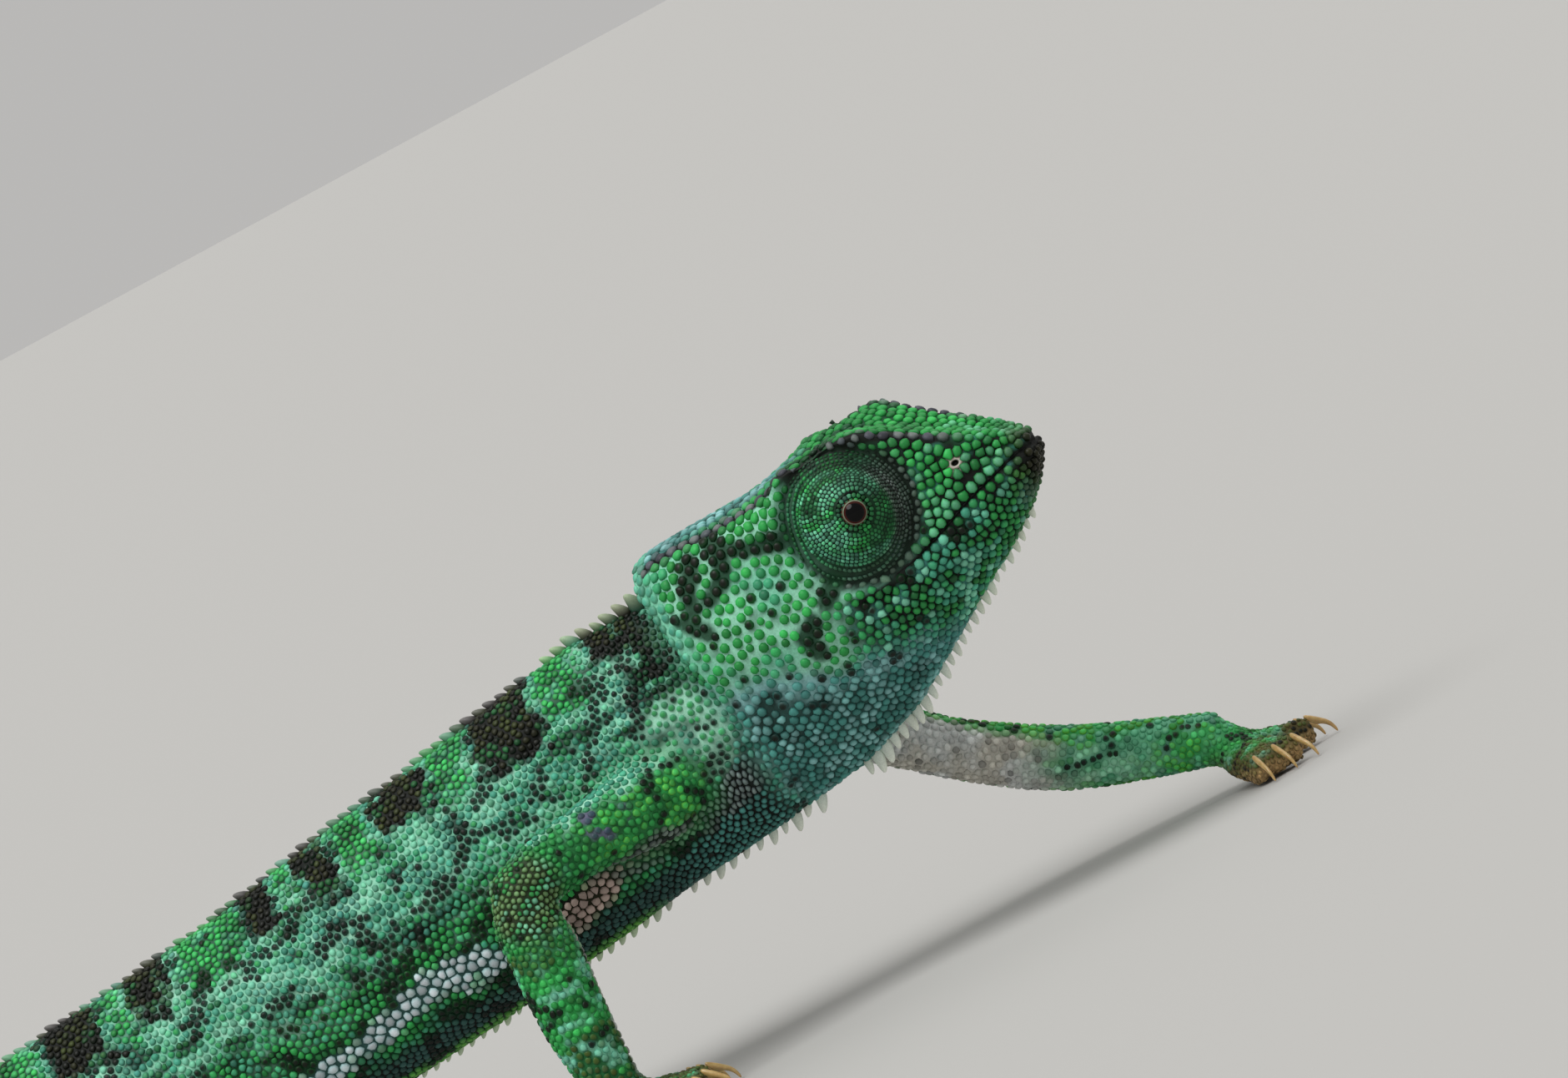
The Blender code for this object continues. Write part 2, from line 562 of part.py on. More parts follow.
def make_foot(leg, ankle, lower):
    """Two bundles of toes that grip from both sides, with the toe tips free and a claw on each."""
    digit = 1
    bundles = sorted(leg["toes"], key=lambda bundle: bundle[0] == "outer")
    middle = sum(heading for _, _, heading in bundles) / 2
    ankle_cut = grown(lower, "ankle_cut")
    for which, toes, heading in bundles:
        obj = toe_bundle(f"{leg['foot']}_{which}_{leg['side']}", ankle, toes, heading)
        combine(obj, ankle_cut, "DIFFERENCE")
        cut_flat(obj, Vector(), Vector((0, 0, -1)))
        other_way = heading_vector(middle + (90 if heading < middle else -90))
        cut_flat(obj, ankle - other_way * CUT / 2, other_way)
        for angle, root in toe_roots(ankle, toes, heading):
            claw(f"claw_{leg['foot']}_{leg['side']}_{digit}", root, angle)
            digit += 1
    drop(ankle_cut)


def cut_flat(obj, point, outwards):
    """Cuts off what lies on the outward side of a plane, and closes the cut."""
    mesh = bmesh.new()
    mesh.from_mesh(obj.data)
    everything = mesh.verts[:] + mesh.edges[:] + mesh.faces[:]
    bmesh.ops.bisect_plane(
        mesh, geom=everything, plane_co=point * MM, plane_no=outwards, clear_outer=True
    )
    rim = [edge for edge in mesh.edges if edge.is_boundary]
    bmesh.ops.holes_fill(mesh, edges=rim)
    bmesh.ops.recalc_face_normals(mesh, faces=mesh.faces)
    mesh.to_mesh(obj.data)
    mesh.free()


def heading_vector(degrees):
    return Vector((math.cos(math.radians(degrees)), math.sin(math.radians(degrees)), 0))


def toe_roots(ankle, toes, heading):
    """The direction of each toe and the point where its claw starts."""
    ahead = heading_vector(heading)
    across = Vector((-ahead.y, ahead.x, 0))
    found = []
    for n in range(toes):
        offset = n - (toes - 1) / 2
        angle = heading + offset * TOE_FAN
        base = ankle + ahead * FOOT_LENGTH * TOES_START + across * offset * TOE_WIDTH
        tip = base + heading_vector(angle) * TOE_LENGTH
        found.append((angle, Vector((tip.x, tip.y, CLAW_HEIGHT))))
    return found


def toe_bundle(name, ankle, toes, heading):
    """The fused part of the toes, from the ankle to the floor, with their tips joined on."""
    ahead = heading_vector(heading)
    across = Vector((-ahead.y, ahead.x, 0))
    low = FOOT_HALF_HEIGHT - SOLE_SINK
    heights = ((0, ankle.z), (0.3, (ankle.z + low) / 2), (0.65, low + 0.3), (1, low))
    half_width = toes * TOE_WIDTH / 2 + 0.15
    widths = ((0, 2.1), (0.4, half_width * 0.88), (1, half_width))
    path, radii = [], []
    for n in range(FOOT_RINGS):
        part = n / (FOOT_RINGS - 1)
        above = Vector((ankle.x, ankle.y, along(heights, part)))
        path.append(above + ahead * (FOOT_LENGTH * part - FOOT_SET_BACK))
        radii.append((along(widths, part), along(FOOT_HEIGHTS, part)))
    obj = node(name, tube(path, radii, LEG_SIDES, across), "hand")
    for angle, root in toe_roots(ankle, toes, heading):
        direction = heading_vector(angle)
        tip = Vector((root.x, root.y, CLAW_HEIGHT - 0.2))
        start = tip - direction * (TOE_LENGTH + TOE_OVERLAP)
        line = [start.lerp(tip, part) for part, _, _ in TOE_KEYS]
        pad = TOE_HALF_HEIGHT - SOLE_SINK
        line[0].z, line[1].z, line[2].z = FOOT_HALF_HEIGHT + 0.1, pad, pad + 0.05
        sizes = [(TOE_HALF_WIDTH * wide, TOE_HALF_HEIGHT * high) for _, wide, high in TOE_KEYS]
        toe_across = Vector((-direction.y, direction.x, 0))
        toe = node("toe", tube(line, sizes, TOE_SIDES, toe_across), None, "cutters")
        combine(obj, toe, "UNION")
        drop(toe)
    return obj


def claw(name, root, heading):
    """A curved claw that starts just in front of its toe and bends down to the floor."""
    ahead = heading_vector(heading)
    point = root + ahead * CUT
    path, radii = [point.copy()], [(CLAW_RADIUS * 0.8, CLAW_RADIUS)]
    for n in range(1, CLAW_STEPS + 1):
        part = n / CLAW_STEPS
        down = math.radians(CLAW_BEND) * part
        onward = ahead * math.cos(down) - Vector((0, 0, math.sin(down)))
        point = point + onward * CLAW_LENGTH / CLAW_STEPS
        size = CLAW_RADIUS + (CLAW_TIP - CLAW_RADIUS) * part
        path.append(Vector((point.x, point.y, max(point.z, CLAW_TIP + 0.02))))
        radii.append((size * 0.8, size))
    node(name, tube(path, radii, CLAW_SIDES, Vector((-ahead.y, ahead.x, 0))), "claw")


def clear_scene():
    for obj in list(bpy.data.objects):
        bpy.data.objects.remove(obj)
    for name in ("chameleon", "cutters"):
        collection = bpy.data.collections.new(name)
        bpy.context.scene.collection.children.link(collection)
    bpy.data.collections["cutters"].hide_render = True


def make_materials():
    for name, (red, green, blue, roughness) in COLOURS.items():
        material = bpy.data.materials.new(name)
        material.use_nodes = True
        shader = material.node_tree.nodes["Principled BSDF"]
        shader.inputs["Base Color"].default_value = (red, green, blue, 1)
        shader.inputs["Roughness"].default_value = roughness
        shader.inputs["Metallic"].default_value = 0
        material.diffuse_color = (red, green, blue, 1)


def centre_on_floor():
    """Hangs every part on one empty, which puts the middle of the whole box's floor at the origin."""
    root = bpy.data.objects.new("chameleon_root", None)
    bpy.data.collections["chameleon"].objects.link(root)
    corners = []
    for obj in bpy.data.collections["chameleon"].objects:
        if obj.type == "MESH":
            obj.parent = root
            obj.data.shade_smooth()
            obj.data.set_sharp_from_angle(angle=SHARP_ANGLE)
            corners += [vertex.co for vertex in obj.data.vertices]
    low, high = (Vector(pick(c[axis] for c in corners) for axis in range(3)) for pick in (min, max))
    root.location = (-(low.x + high.x) / 2, -(low.y + high.y) / 2, -low.z)
    size = (high - low) / MM
    print(f"length {size.x:.1f}, width {size.y:.1f}, height {size.z:.1f} mm")
    moved = root.location / MM
    print(f"moved by {moved.x:.2f}, {moved.y:.2f}, {moved.z:.2f} mm")


def main():
    clear_scene()
    make_materials()
    cutters = make_trunk()
    cutters["throat"] = make_head()
    make_tail()
    for leg in LEGS.values():
        front = leg["foot"] == "hand"
        near = ("trunk_front", "neck", "throat") if front else ("trunk_rear", "trunk_middle")
        make_leg(leg, [cutters[part] for part in near])
    for cutter in cutters.values():
        drop(cutter)
    centre_on_floor()


main()
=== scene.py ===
# %% [markdown]
# # A flap-necked chameleon, life size
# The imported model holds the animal's build: its outline, its crest, its limbs and where its eyes
# look. Here it gets its looks. One skin is drawn over all the pieces of flesh, and on it lie some
# twenty-four thousand separate scales, the spines of the crests, the eyes and the claws.
# Sizes are in millimetres until a mesh is made, and then they become metres.

import math
import time

import bmesh
import bpy
import numpy as np
from mathutils import Matrix, Vector, noise
from mathutils.bvhtree import BVHTree
from mathutils.kdtree import KDTree
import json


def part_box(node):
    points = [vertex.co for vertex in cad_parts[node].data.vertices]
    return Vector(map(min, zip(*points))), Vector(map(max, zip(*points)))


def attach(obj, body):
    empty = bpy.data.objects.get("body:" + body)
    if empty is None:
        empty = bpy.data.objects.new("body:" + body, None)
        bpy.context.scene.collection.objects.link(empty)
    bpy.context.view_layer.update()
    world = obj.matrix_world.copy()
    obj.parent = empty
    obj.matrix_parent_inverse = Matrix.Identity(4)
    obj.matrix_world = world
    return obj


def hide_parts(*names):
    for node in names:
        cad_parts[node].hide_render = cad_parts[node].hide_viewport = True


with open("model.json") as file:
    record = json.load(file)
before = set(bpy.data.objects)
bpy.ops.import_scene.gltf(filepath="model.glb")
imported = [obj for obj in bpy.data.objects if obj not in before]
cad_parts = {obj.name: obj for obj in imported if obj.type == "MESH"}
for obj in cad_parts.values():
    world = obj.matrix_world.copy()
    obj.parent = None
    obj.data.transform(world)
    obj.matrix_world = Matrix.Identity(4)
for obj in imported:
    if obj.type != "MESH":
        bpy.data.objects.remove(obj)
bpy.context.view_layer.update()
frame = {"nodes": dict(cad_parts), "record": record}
started = time.time()
MM = 0.001
FLESH = [part["node"] for part in frame["record"]["subparts"] if part["material_slot"] == "skin"]
print(f"{len(frame['nodes'])} nodes, {len(FLESH)} of them flesh")

# %% [markdown]
# ## Where things are on the animal
# Markings and rows of scales follow the animal and not the room, so two sets of coordinates are
# used. Along the trunk a place is given by its station forward of the shoulders' middle. The head
# is turned and rolled, so it has coordinates of its own: forward from the back of the casque, to
# the left, and up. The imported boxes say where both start, and the turrets' boxes show the turn.

# %% Trunk and head coordinates
CUT = 0.3  # the gap between two packed lengths
REAR_CUT_STATION = -57.0  # the cut in front of the trunk's rear length
NECK_END, NECK_LENGTH = 13.0, 10.0  # the neck turns over the last 10 mm before station 13
HEAD_TURN, HEAD_ROLL, ROLL_HEIGHT = math.radians(-10), math.radians(5), 33.0
SIDES = {"right": -1, "left": 1}  # the sign of Y on each side


def box_mm(node):
    low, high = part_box(node)
    return low / MM, high / MM


shift_x = box_mm("trunk_rear")[1].x + CUT / 2 - REAR_CUT_STATION
shift_y = sum(corner.y for corner in box_mm("trunk_middle")) / 2
neck_joint = Vector((shift_x + NECK_END, shift_y + HEAD_TURN * NECK_LENGTH / 2, 0))
to_axis = Matrix.Translation((0, 0, ROLL_HEIGHT))
HEAD = (
    Matrix.Translation(neck_joint)
    @ Matrix.Rotation(HEAD_TURN, 4, "Z")
    @ to_axis @ Matrix.Rotation(HEAD_ROLL, 4, "X") @ to_axis.inverted()
)


def moved(points, matrix):
    """An array of points put through a matrix."""
    m = np.array(matrix)
    return points @ m[:3, :3].T + m[:3, 3]


def in_trunk(points):
    return points - (shift_x, shift_y, 0)


def in_head(points):
    return moved(points, HEAD.inverted())


def as_left(points):
    """The places mirrored to the left half, where both sides of the animal are alike."""
    return points * (1, 0, 1) + abs(points) * (0, 1, 0)


def middle_of(node):
    return sum(box_mm(node), Vector()) / 2


for side in SIDES:
    middle = HEAD.inverted() @ middle_of("eye_turret_" + side)
    print(f"{side} turret in head coordinates", [round(v, 1) for v in middle])
print(f"station 0 is at x {shift_x:.2f} mm, and the trunk's middle plane at y {shift_y:.2f} mm")

# %% [markdown]
# ## The skin
# A living skin is one sheet, while the model is in lengths parted by thin cuts. The pieces could be
# bridged by hand, or joined with Booleans, but a voxel remesh does it in one step: every piece is
# swollen until the cuts close, and the remesh keeps only the outside. It is then smoothed and drawn
# in again, past where it started, so that the scales have room to stand on it.

# %% Swell the pieces and remesh them as one
SWELL = 0.22
VOXEL = 0.46
MOST_SHELL = 1.3  # at a sharp edge a point moves at most this many times as far
SAME_POINT = 1e-6  # metres, within which two corners are one


def swollen_flesh():
    """All flesh nodes in one mesh, each a little larger than it is."""
    together = bmesh.new()
    for name in FLESH:
        piece = bmesh.new()
        piece.from_mesh(frame["nodes"][name].data)
        bmesh.ops.remove_doubles(piece, verts=piece.verts, dist=SAME_POINT)
        piece.normal_update()
        for vertex in piece.verts:
            vertex.co += vertex.normal * min(vertex.calc_shell_factor(), MOST_SHELL) * SWELL * MM
        data = bpy.data.meshes.new(name + "_swollen")
        piece.to_mesh(data)
        piece.free()
        together.from_mesh(data)
        bpy.data.meshes.remove(data)
    result = bpy.data.meshes.new("flesh")
    together.to_mesh(result)
    together.free()
    return result


def in_scene(name, data):
    """A new object in the scene, at the origin."""
    obj = bpy.data.objects.new(name, data)
    bpy.context.scene.collection.objects.link(obj)
    return obj


def evaluated_mesh(obj):
    """The object's mesh with its modifiers applied, and the object itself removed."""
    graph = bpy.context.evaluated_depsgraph_get()
    mesh = bpy.data.meshes.new_from_object(obj.evaluated_get(graph))
    bpy.data.objects.remove(obj)
    return mesh


flesh = in_scene("flesh", swollen_flesh())
remesh = flesh.modifiers.new("one_skin", "REMESH")
remesh.mode = "VOXEL"
remesh.voxel_size = VOXEL * MM
skin_mesh = evaluated_mesh(flesh)
print(f"skin: {len(skin_mesh.polygons)} faces, {time.time() - started:.1f} s")

# %% Read the skin into arrays
skin = np.empty(len(skin_mesh.vertices) * 3)
skin_mesh.vertices.foreach_get("co", skin)
skin = skin.reshape(-1, 3) / MM


def four_sided():
    """The skin's faces with four corners, read anew each time, because edit mode renews them."""
    return [polygon for polygon in skin_mesh.polygons if len(polygon.vertices) == 4]


quads = np.array([tuple(polygon.vertices) for polygon in four_sided()])
edges = np.empty(len(skin_mesh.edges) * 2, dtype=np.int32)
skin_mesh.edges.foreach_get("vertices", edges)
edges = edges.reshape(-1, 2)
valence = np.bincount(edges.ravel(), minlength=len(skin)).astype(float)
print(f"{len(skin)} points, {len(quads)} four-sided faces of {len(skin_mesh.polygons)}")


def neighbour_mean(values):
    """For each point of the skin, the mean of a value over its neighbours."""
    columns = values.reshape(len(values), -1)
    total = np.empty_like(columns)
    for i in range(columns.shape[1]):
        column = columns[:, i]
        total[:, i] = (
            np.bincount(edges[:, 0], column[edges[:, 1]], len(column))
            + np.bincount(edges[:, 1], column[edges[:, 0]], len(column))
        )
    return (total / valence[:, None]).reshape(values.shape)


def skin_normals():
    a, b, c, d = (skin[quads[:, i]] for i in range(4))
    crossed = np.cross(c - a, d - b)
    result = np.zeros_like(skin)
    for i in range(4):
        for axis in range(3):
            result[:, axis] += np.bincount(quads[:, i], crossed[:, axis], len(skin))
    return result / np.maximum(np.linalg.norm(result, axis=1), 1e-12)[:, None]


# %% Which part of the animal each point belongs to
REGIONS = {
    "head": ("head", "lower_jaw"), "throat": ("throat",), "neck": ("neck",),
    "trunk": ("trunk_front", "trunk_middle", "trunk_rear"),
    "tail": ("tail_base", "tail_middle", "tail_coil_outer", "tail_coil_inner"),
    "turret": ("eye_turret_left", "eye_turret_right"),
    "arm_right": ("upper_arm_right", "forearm_right"), "arm_left": ("upper_arm_left", "forearm_left"),
    "leg_right": ("thigh_right", "shin_right"), "leg_left": ("thigh_left", "shin_left"),
    "foot": tuple(name for name in FLESH if name.startswith(("hand", "foot"))),
}
region_names = list(REGIONS)
region_of_node = {node: i for i, nodes in enumerate(REGIONS.values()) for node in nodes}


def region_tree():
    """A search tree over the flesh nodes' faces, with the region and the node of each face."""
    points, faces, regions, owners = [], [], [], []
    for name in FLESH:
        mesh = frame["nodes"][name].data
        first = len(points)
        points += [vertex.co / MM for vertex in mesh.vertices]
        faces += [[first + i for i in polygon.vertices] for polygon in mesh.polygons]
        regions += [region_of_node[name]] * len(mesh.polygons)
        owners += [FLESH.index(name)] * len(mesh.polygons)
    return BVHTree.FromPolygons(points, faces), np.array(regions), np.array(owners)


flesh_tree, face_region, face_node = region_tree()
nearest = [flesh_tree.find_nearest(point)[2] for point in skin]
regions = face_region[nearest]
nodes_here = face_node[nearest]
print({name: int((regions == i).sum()) for i, name in enumerate(region_names)})
print(f"regions known, {time.time() - started:.1f} s")

# %% [markdown]
# ## Shaping the skin
# The remesh leaves stair steps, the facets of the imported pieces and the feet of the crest's spines.
# Plain smoothing would also shrink the thin toes and tail, so each smoothing step is followed by
# one that pushes back, which is known as Taubin smoothing. The crest's band is smoothed on
# its own until it is flat, because the spines come back later as pieces of their own.

# %% Smooth, flatten the crest bands and draw the skin in
COAT_DEPTH = 0.26
CREST_BAND = 1.3  # a crest stands this far to each side of the middle plane at most
SIDEWAYS = 0.9  # a normal with this much Y in it belongs to the flank, not to the crest
STAIR_ROUNDS, CREST_ROUNDS, EVEN_ROUNDS, LAST_ROUNDS = 10, 60, 6, 3


def smooth(times, where=None, shrink=0.55, swell=-0.57):
    """Taubin smoothing of the skin, at all points or where a mask is 1."""
    global skin
    mask = 1.0 if where is None else where[:, None]
    for _ in range(times):
        for weight in (shrink, swell):
            skin = skin + mask * weight * (neighbour_mean(skin) - skin)


def among(region_numbers, names):
    """Which of these numbers stand for one of the named regions."""
    return np.isin(region_numbers, [region_names.index(name) for name in names])


def near(*names):
    """A mask that is 1 in these regions."""
    return among(regions, names).astype(float)


smooth(STAIR_ROUNDS)
body, head = in_trunk(skin), in_head(skin)
normals = skin_normals()
off_middle = np.where(near("head", "throat") > 0, abs(head[:, 1]), abs(body[:, 1]))
crest_band = (off_middle < CREST_BAND) & (abs(normals[:, 1]) < SIDEWAYS)
crest_band &= near("throat", "neck", "trunk") > 0
under_head = (near("head") > 0) & (normals[:, 2] < 0.2)
crest_band |= (off_middle < CREST_BAND) & under_head
smooth(CREST_ROUNDS, crest_band.astype(float), shrink=0.9, swell=0.0)
smooth(EVEN_ROUNDS)
normals = skin_normals()
skin = skin - normals * (SWELL + COAT_DEPTH)
smooth(LAST_ROUNDS)
print(f"smoothed, {time.time() - started:.1f} s")

# %% [markdown]
# The folds are what makes it a living skin. Each is a push in or out along the surface, as deep as
# the distance to a line or a ring says: the closed mouth, the groove that the turret of the eye
# turns in, the crease behind the casque, the nostril and the loose skin of neck and belly.

# %% Soft edges between regions
BLUR_ROUNDS = 14


def soft(*names):
    """How much a point belongs to these regions, from 0 to 1, blurred over the skin."""
    value = near(*names)
    for _ in range(BLUR_ROUNDS):
        value = 0.3 * value + 0.7 * neighbour_mean(value)
    return value


share = {name: soft(name) for name in region_names}
share["limb"] = soft("arm_right", "arm_left", "leg_right", "leg_left", "foot")


def ramp(value, low, high):
    """0 up to low, 1 from high on, and an even curve between. low may be above high."""
    t = np.clip((value - low) / (high - low), 0, 1)
    return t * t * (3 - 2 * t)


def hump(value, width):
    return np.exp(-((value / width) ** 2))


def distance_to_line(points, line):
    """Distance from each point to a line of straight runs, in two or three dimensions."""
    best = np.full(len(points), 1e9)
    knots = np.array(line, dtype=float)
    for a, b in zip(knots, knots[1:]):
        along = np.clip(((points - a) @ (b - a)) / ((b - a) @ (b - a)), 0, 1)
        best = np.minimum(best, np.linalg.norm(points - a - along[:, None] * (b - a), axis=1))
    return best


def mottle(points, size, seed, octaves=2):
    """Smooth noise between about -1 and 1, with lumps of the given size in millimetres."""
    offset = Vector((seed * 17.3, seed * 5.1, seed * 9.7))
    return np.array([
        noise.fractal(Vector(point) / size + offset, 1.0, 2.0, octaves) for point in points
    ])


# %% Fold the skin
# Lines on the head are given forward of the casque's back and up, and those in three numbers have
# the distance from the middle plane between.
MOUTH = ((40.5, 38.4), (39.3, 38.0), (37.3, 37.8), (34.5, 37.1), (31.8, 36.3), (28.6, 35.0),
         (25.5, 34.1), (23.4, 33.7))
JAW_FOLD = ((23.4, 33.7), (21.0, 30.8), (19.6, 28.0))
NOSTRIL = (32.7, 4.2, 39.8)
TURRET = (22.4, 40.3)
TURRET_RADIUS = 5.7
NECK_FOLDS = (
    ((-2.0, 30.0), (4.0, 33.0), (9.0, 34.2)), ((0.0, 26.5), (6.0, 29.0), (12.0, 29.6)),
    ((-4.0, 33.5), (2.0, 36.2), (8.0, 37.2)), ((6.0, 24.0), (11.0, 25.6), (16.0, 25.4)),
)
# How deep each fold is and how wide, in millimetres.
MOUTH_FOLD, JAW_CREASE, CASQUE_CREASE, NECK_FOLD = (0.42, 0.34), (0.25, 0.5), (0.3, 0.7), (0.35, 0.6)
# Rings round the turret: how far outside it, how high (a groove is below 0) and how wide.
TURRET_RINGS = ((0.35, -0.55, 0.45), (1.2, 0.22, 0.4), (1.9, -0.16, 0.35))
NOSTRIL_LIP_AT, NOSTRIL_LIP, NOSTRIL_HOLE = 0.75, (0.14, 0.35), (0.6, 0.4)
CASQUE_BACK, CASQUE_SLANT = 3.2, 0.33


def fold_depths(points, of_region):
    """How far the skin stands out at each point, in millimetres, for its folds and ridges."""
    at_head, flank = in_head(points), in_trunk(points)[:, [0, 2]]
    profile = at_head[:, [0, 2]]
    side_on = as_left(at_head)
    depth = np.zeros(len(points))
    on_head = of_region["head"] + of_region["throat"]
    deep, wide = MOUTH_FOLD
    depth -= on_head * deep * hump(distance_to_line(profile, MOUTH), wide) * ramp(side_on[:, 1], 0.0, 0.6)
    deep, wide = JAW_CREASE
    depth -= of_region["head"] * deep * hump(distance_to_line(profile, JAW_FOLD), wide)
    from_turret = np.linalg.norm(profile - TURRET, axis=1)
    beside = ramp(side_on[:, 1], 3.5, 5.0)
    rim = on_head + of_region["turret"]
    for outside, high, wide in TURRET_RINGS:
        depth += rim * beside * high * hump(from_turret - TURRET_RADIUS - outside, wide)
    nostril = np.linalg.norm(side_on - NOSTRIL, axis=1)
    lip = NOSTRIL_LIP[0] * hump(nostril - NOSTRIL_LIP_AT, NOSTRIL_LIP[1])
    hole = NOSTRIL_HOLE[0] * hump(nostril, NOSTRIL_HOLE[1])
    depth += of_region["head"] * (lip - hole)
    behind_casque = at_head[:, 0] + CASQUE_SLANT * np.maximum(0, at_head[:, 2] - 30)
    deep, wide = CASQUE_CREASE
    depth -= deep * hump(behind_casque - CASQUE_BACK, wide) * of_region["neck"]
    loose = of_region["neck"] + of_region["throat"] + of_region["trunk"]
    deep, wide = NECK_FOLD
    for fold in NECK_FOLDS:
        depth -= deep * hump(distance_to_line(flank, fold), wide) * ramp(loose, 0.3, 0.9)
    return depth


def move_skin(outwards):
    global skin
    skin = skin + skin_normals() * outwards[:, None]


WRINKLE_DEPTH, WRINKLE_SIZE, WRINKLE_SEED = 0.10, 1.6, 3
WRINKLE_STRETCH = (0.35, 0.6, 1.0)  # under 1 along an axis makes them longer that way
move_skin(fold_depths(skin, share))
wrinkles = mottle(skin * WRINKLE_STRETCH, WRINKLE_SIZE, WRINKLE_SEED)
move_skin(WRINKLE_DEPTH * wrinkles * (share["neck"] + 0.6 * share["throat"] + 0.5 * share["trunk"]))
smooth(1)
FLOOR_GAP = 0.03
skin[:, 2] = np.maximum(skin[:, 2], FLOOR_GAP)
normals = skin_normals()
print(f"folded, {time.time() - started:.1f} s")

# %% A search tree over the finished skin
skin_tree = BVHTree.FromPolygons(skin.tolist(), quads.tolist())


def onto_skin(points):
    """The nearest places on the skin, with the face that each is on."""
    found = [skin_tree.find_nearest(point) for point in points]
    return np.array([hit[0] for hit in found]), np.array([hit[2] for hit in found])


def at_faces(values, faces):
    """A value of the skin's points, averaged over each of these faces."""
    return values[quads[faces]].mean(axis=1)


def shares_at(faces):
    """How much each of these faces belongs to each region."""
    return {name: at_faces(value, faces) for name, value in share.items()}


def unit(vectors):
    return vectors / np.maximum(np.linalg.norm(vectors, axis=1), 1e-12)[:, None]


def square_to(vectors, axes):
    """What is left of each vector at right angles to its axis, 1 long."""
    return unit(vectors - axes * (vectors * axes).sum(axis=1)[:, None])


# %% Which way is lengthwise
COIL_STATION, COIL_HEIGHT = -145.0, 14.6  # the middle of the tail's coil


def long_axis(node):
    """The direction in which a node is longest, pointing forward."""
    points = np.array([vertex.co for vertex in frame["nodes"][node].data.vertices])
    axis = np.linalg.svd(points - points.mean(axis=0), full_matrices=False)[2][0]
    return axis if axis[0] > 0 else -axis


lengthwise = np.tile((1.0, 0.0, 0.0), (len(skin), 1))
for i, name in enumerate(FLESH):
    if name in ("head", "lower_jaw", "throat") or name.startswith("eye_turret"):
        lengthwise[nodes_here == i] = HEAD.to_3x3() @ Vector((1, 0, 0))
    elif name.startswith("tail_coil"):
        ahead, up = (body[:, [0, 2]][nodes_here == i] - (COIL_STATION, COIL_HEIGHT)).T
        lengthwise[nodes_here == i] = np.stack([-up, ahead * 0, ahead], axis=1)
    elif not name.startswith(("trunk", "neck")):
        lengthwise[nodes_here == i] = long_axis(name)
lengthwise = unit(lengthwise)

# %% [markdown]
# ## The animal's markings
# A chameleon's colours follow its build: dark saddles down the back, a broken white line low on
# the flank, dark bars that run from the eye. They could be painted into a picture and wrapped
# round the body, but a picture stretches and has an end. Here each marking is a line or a patch
# in the animal's own coordinates, and one function says the colour of any place on the body. The
# same function colours the bare skin and every scale, so the two always agree.

# %% Where the markings are
# Along the trunk: station and height, in millimetres. A marking is the same on both flanks, but
# the mottle that frays its edge isn't.
SADDLES = (  # start, end and depth down from the back line
    (-92, -86, 4.0), (-81, -75, 4.5), (-69, -63, 4.8), (-57, -50, 5.0), (-47.5, -42.3, 4.4),
    (-35, -30.6, 4.4), (-28.6, -24, 5.0), (-19.2, -13.4, 4.6), (-9.0, -1.2, 5.8), (4.6, 9.0, 3.0),
    (8.6, 14.5, 4.0),
)
BLOTCHES = (
    ((-14.0, 27.0), (-10.4, 30.4)), ((-8.8, 32.2), (-6.6, 35.0)), ((2.0, 30.6), (3.4, 34.2)),
    ((7.3, 30.9), (8.3, 33.9)), ((4.4, 35.0), (5.6, 36.6)), ((8.2, 36.6), (10.4, 38.8)),
    ((-22.0, 24.0), (-20.4, 26.4)), ((-29.5, 29.5), (-26.4, 31.6)), ((-41.5, 26.0), (-38.6, 29.6)),
    ((-52.0, 22.0), (-50.0, 25.4)), ((-63.0, 26.0), (-60.0, 28.6)), ((-74.0, 22.0), (-72.0, 25.0)),
    ((11.5, 25.0), (13.5, 27.0)), ((0.4, 28.2), (1.4, 29.4)), ((11.4, 39.2), (13.0, 37.4), (13.6, 35.6)),
    ((11.6, 37.4), (12.4, 35.4)), ((-33.0, 31.6), (-30.6, 33.0)), ((-3.6, 30.6), (-2.4, 31.6)),
    ((-14.0, 27.0), (-17.5, 26.2)), ((-27.2, 27.0), (-24.6, 27.8)), ((-21.8, 22.4), (-20.6, 22.8)),
    ((-15.5, 21.2), (-13.6, 22.4)), ((-20.6, 16.4), (-18.4, 16.8)), ((-14.6, 17.0), (-13.6, 17.6)),
    ((-26.0, 23.2), (-25.0, 23.4)), ((-7.2, 28.8), (-6.6, 29.6)), ((-34.0, 24.0), (-31.6, 25.0)),
    ((-44.0, 21.6), (-42.4, 22.4)), ((-57.0, 22.4), (-55.0, 23.6)), ((-68.0, 22.0), (-66.4, 22.8)),
)
WHITE_LINE = (
    ((-14.2, 19.3), (-18.0, 19.8)), ((-20.0, 19.9), (-24.0, 19.0)), ((-25.4, 18.3), (-28.2, 17.7)),
    ((-30.6, 17.3), (-34.6, 16.9)), ((-39.0, 16.9), (-43.0, 17.1)), ((-48.6, 17.6), (-51.6, 18.0)),
    ((-58.0, 18.6), (-60.4, 18.9)),
)
PINK_LINE = ((-6.0, 19.2), (-2.2, 20.3))
PINK_FOLD = ((-2.4, 21.2), (3.5, 21.7))
MINT_PATCH, SHADED_PATCH = (11.0, 28.6), (6.5, 27.5)
GREY_FOLD = ((-1.4, 21.4), (2.9, 21.7), (6.1, 21.8), (9.7, 21.8), (14.8, 23.2))


FADE = 0.35  # half the width of a marking's soft edge


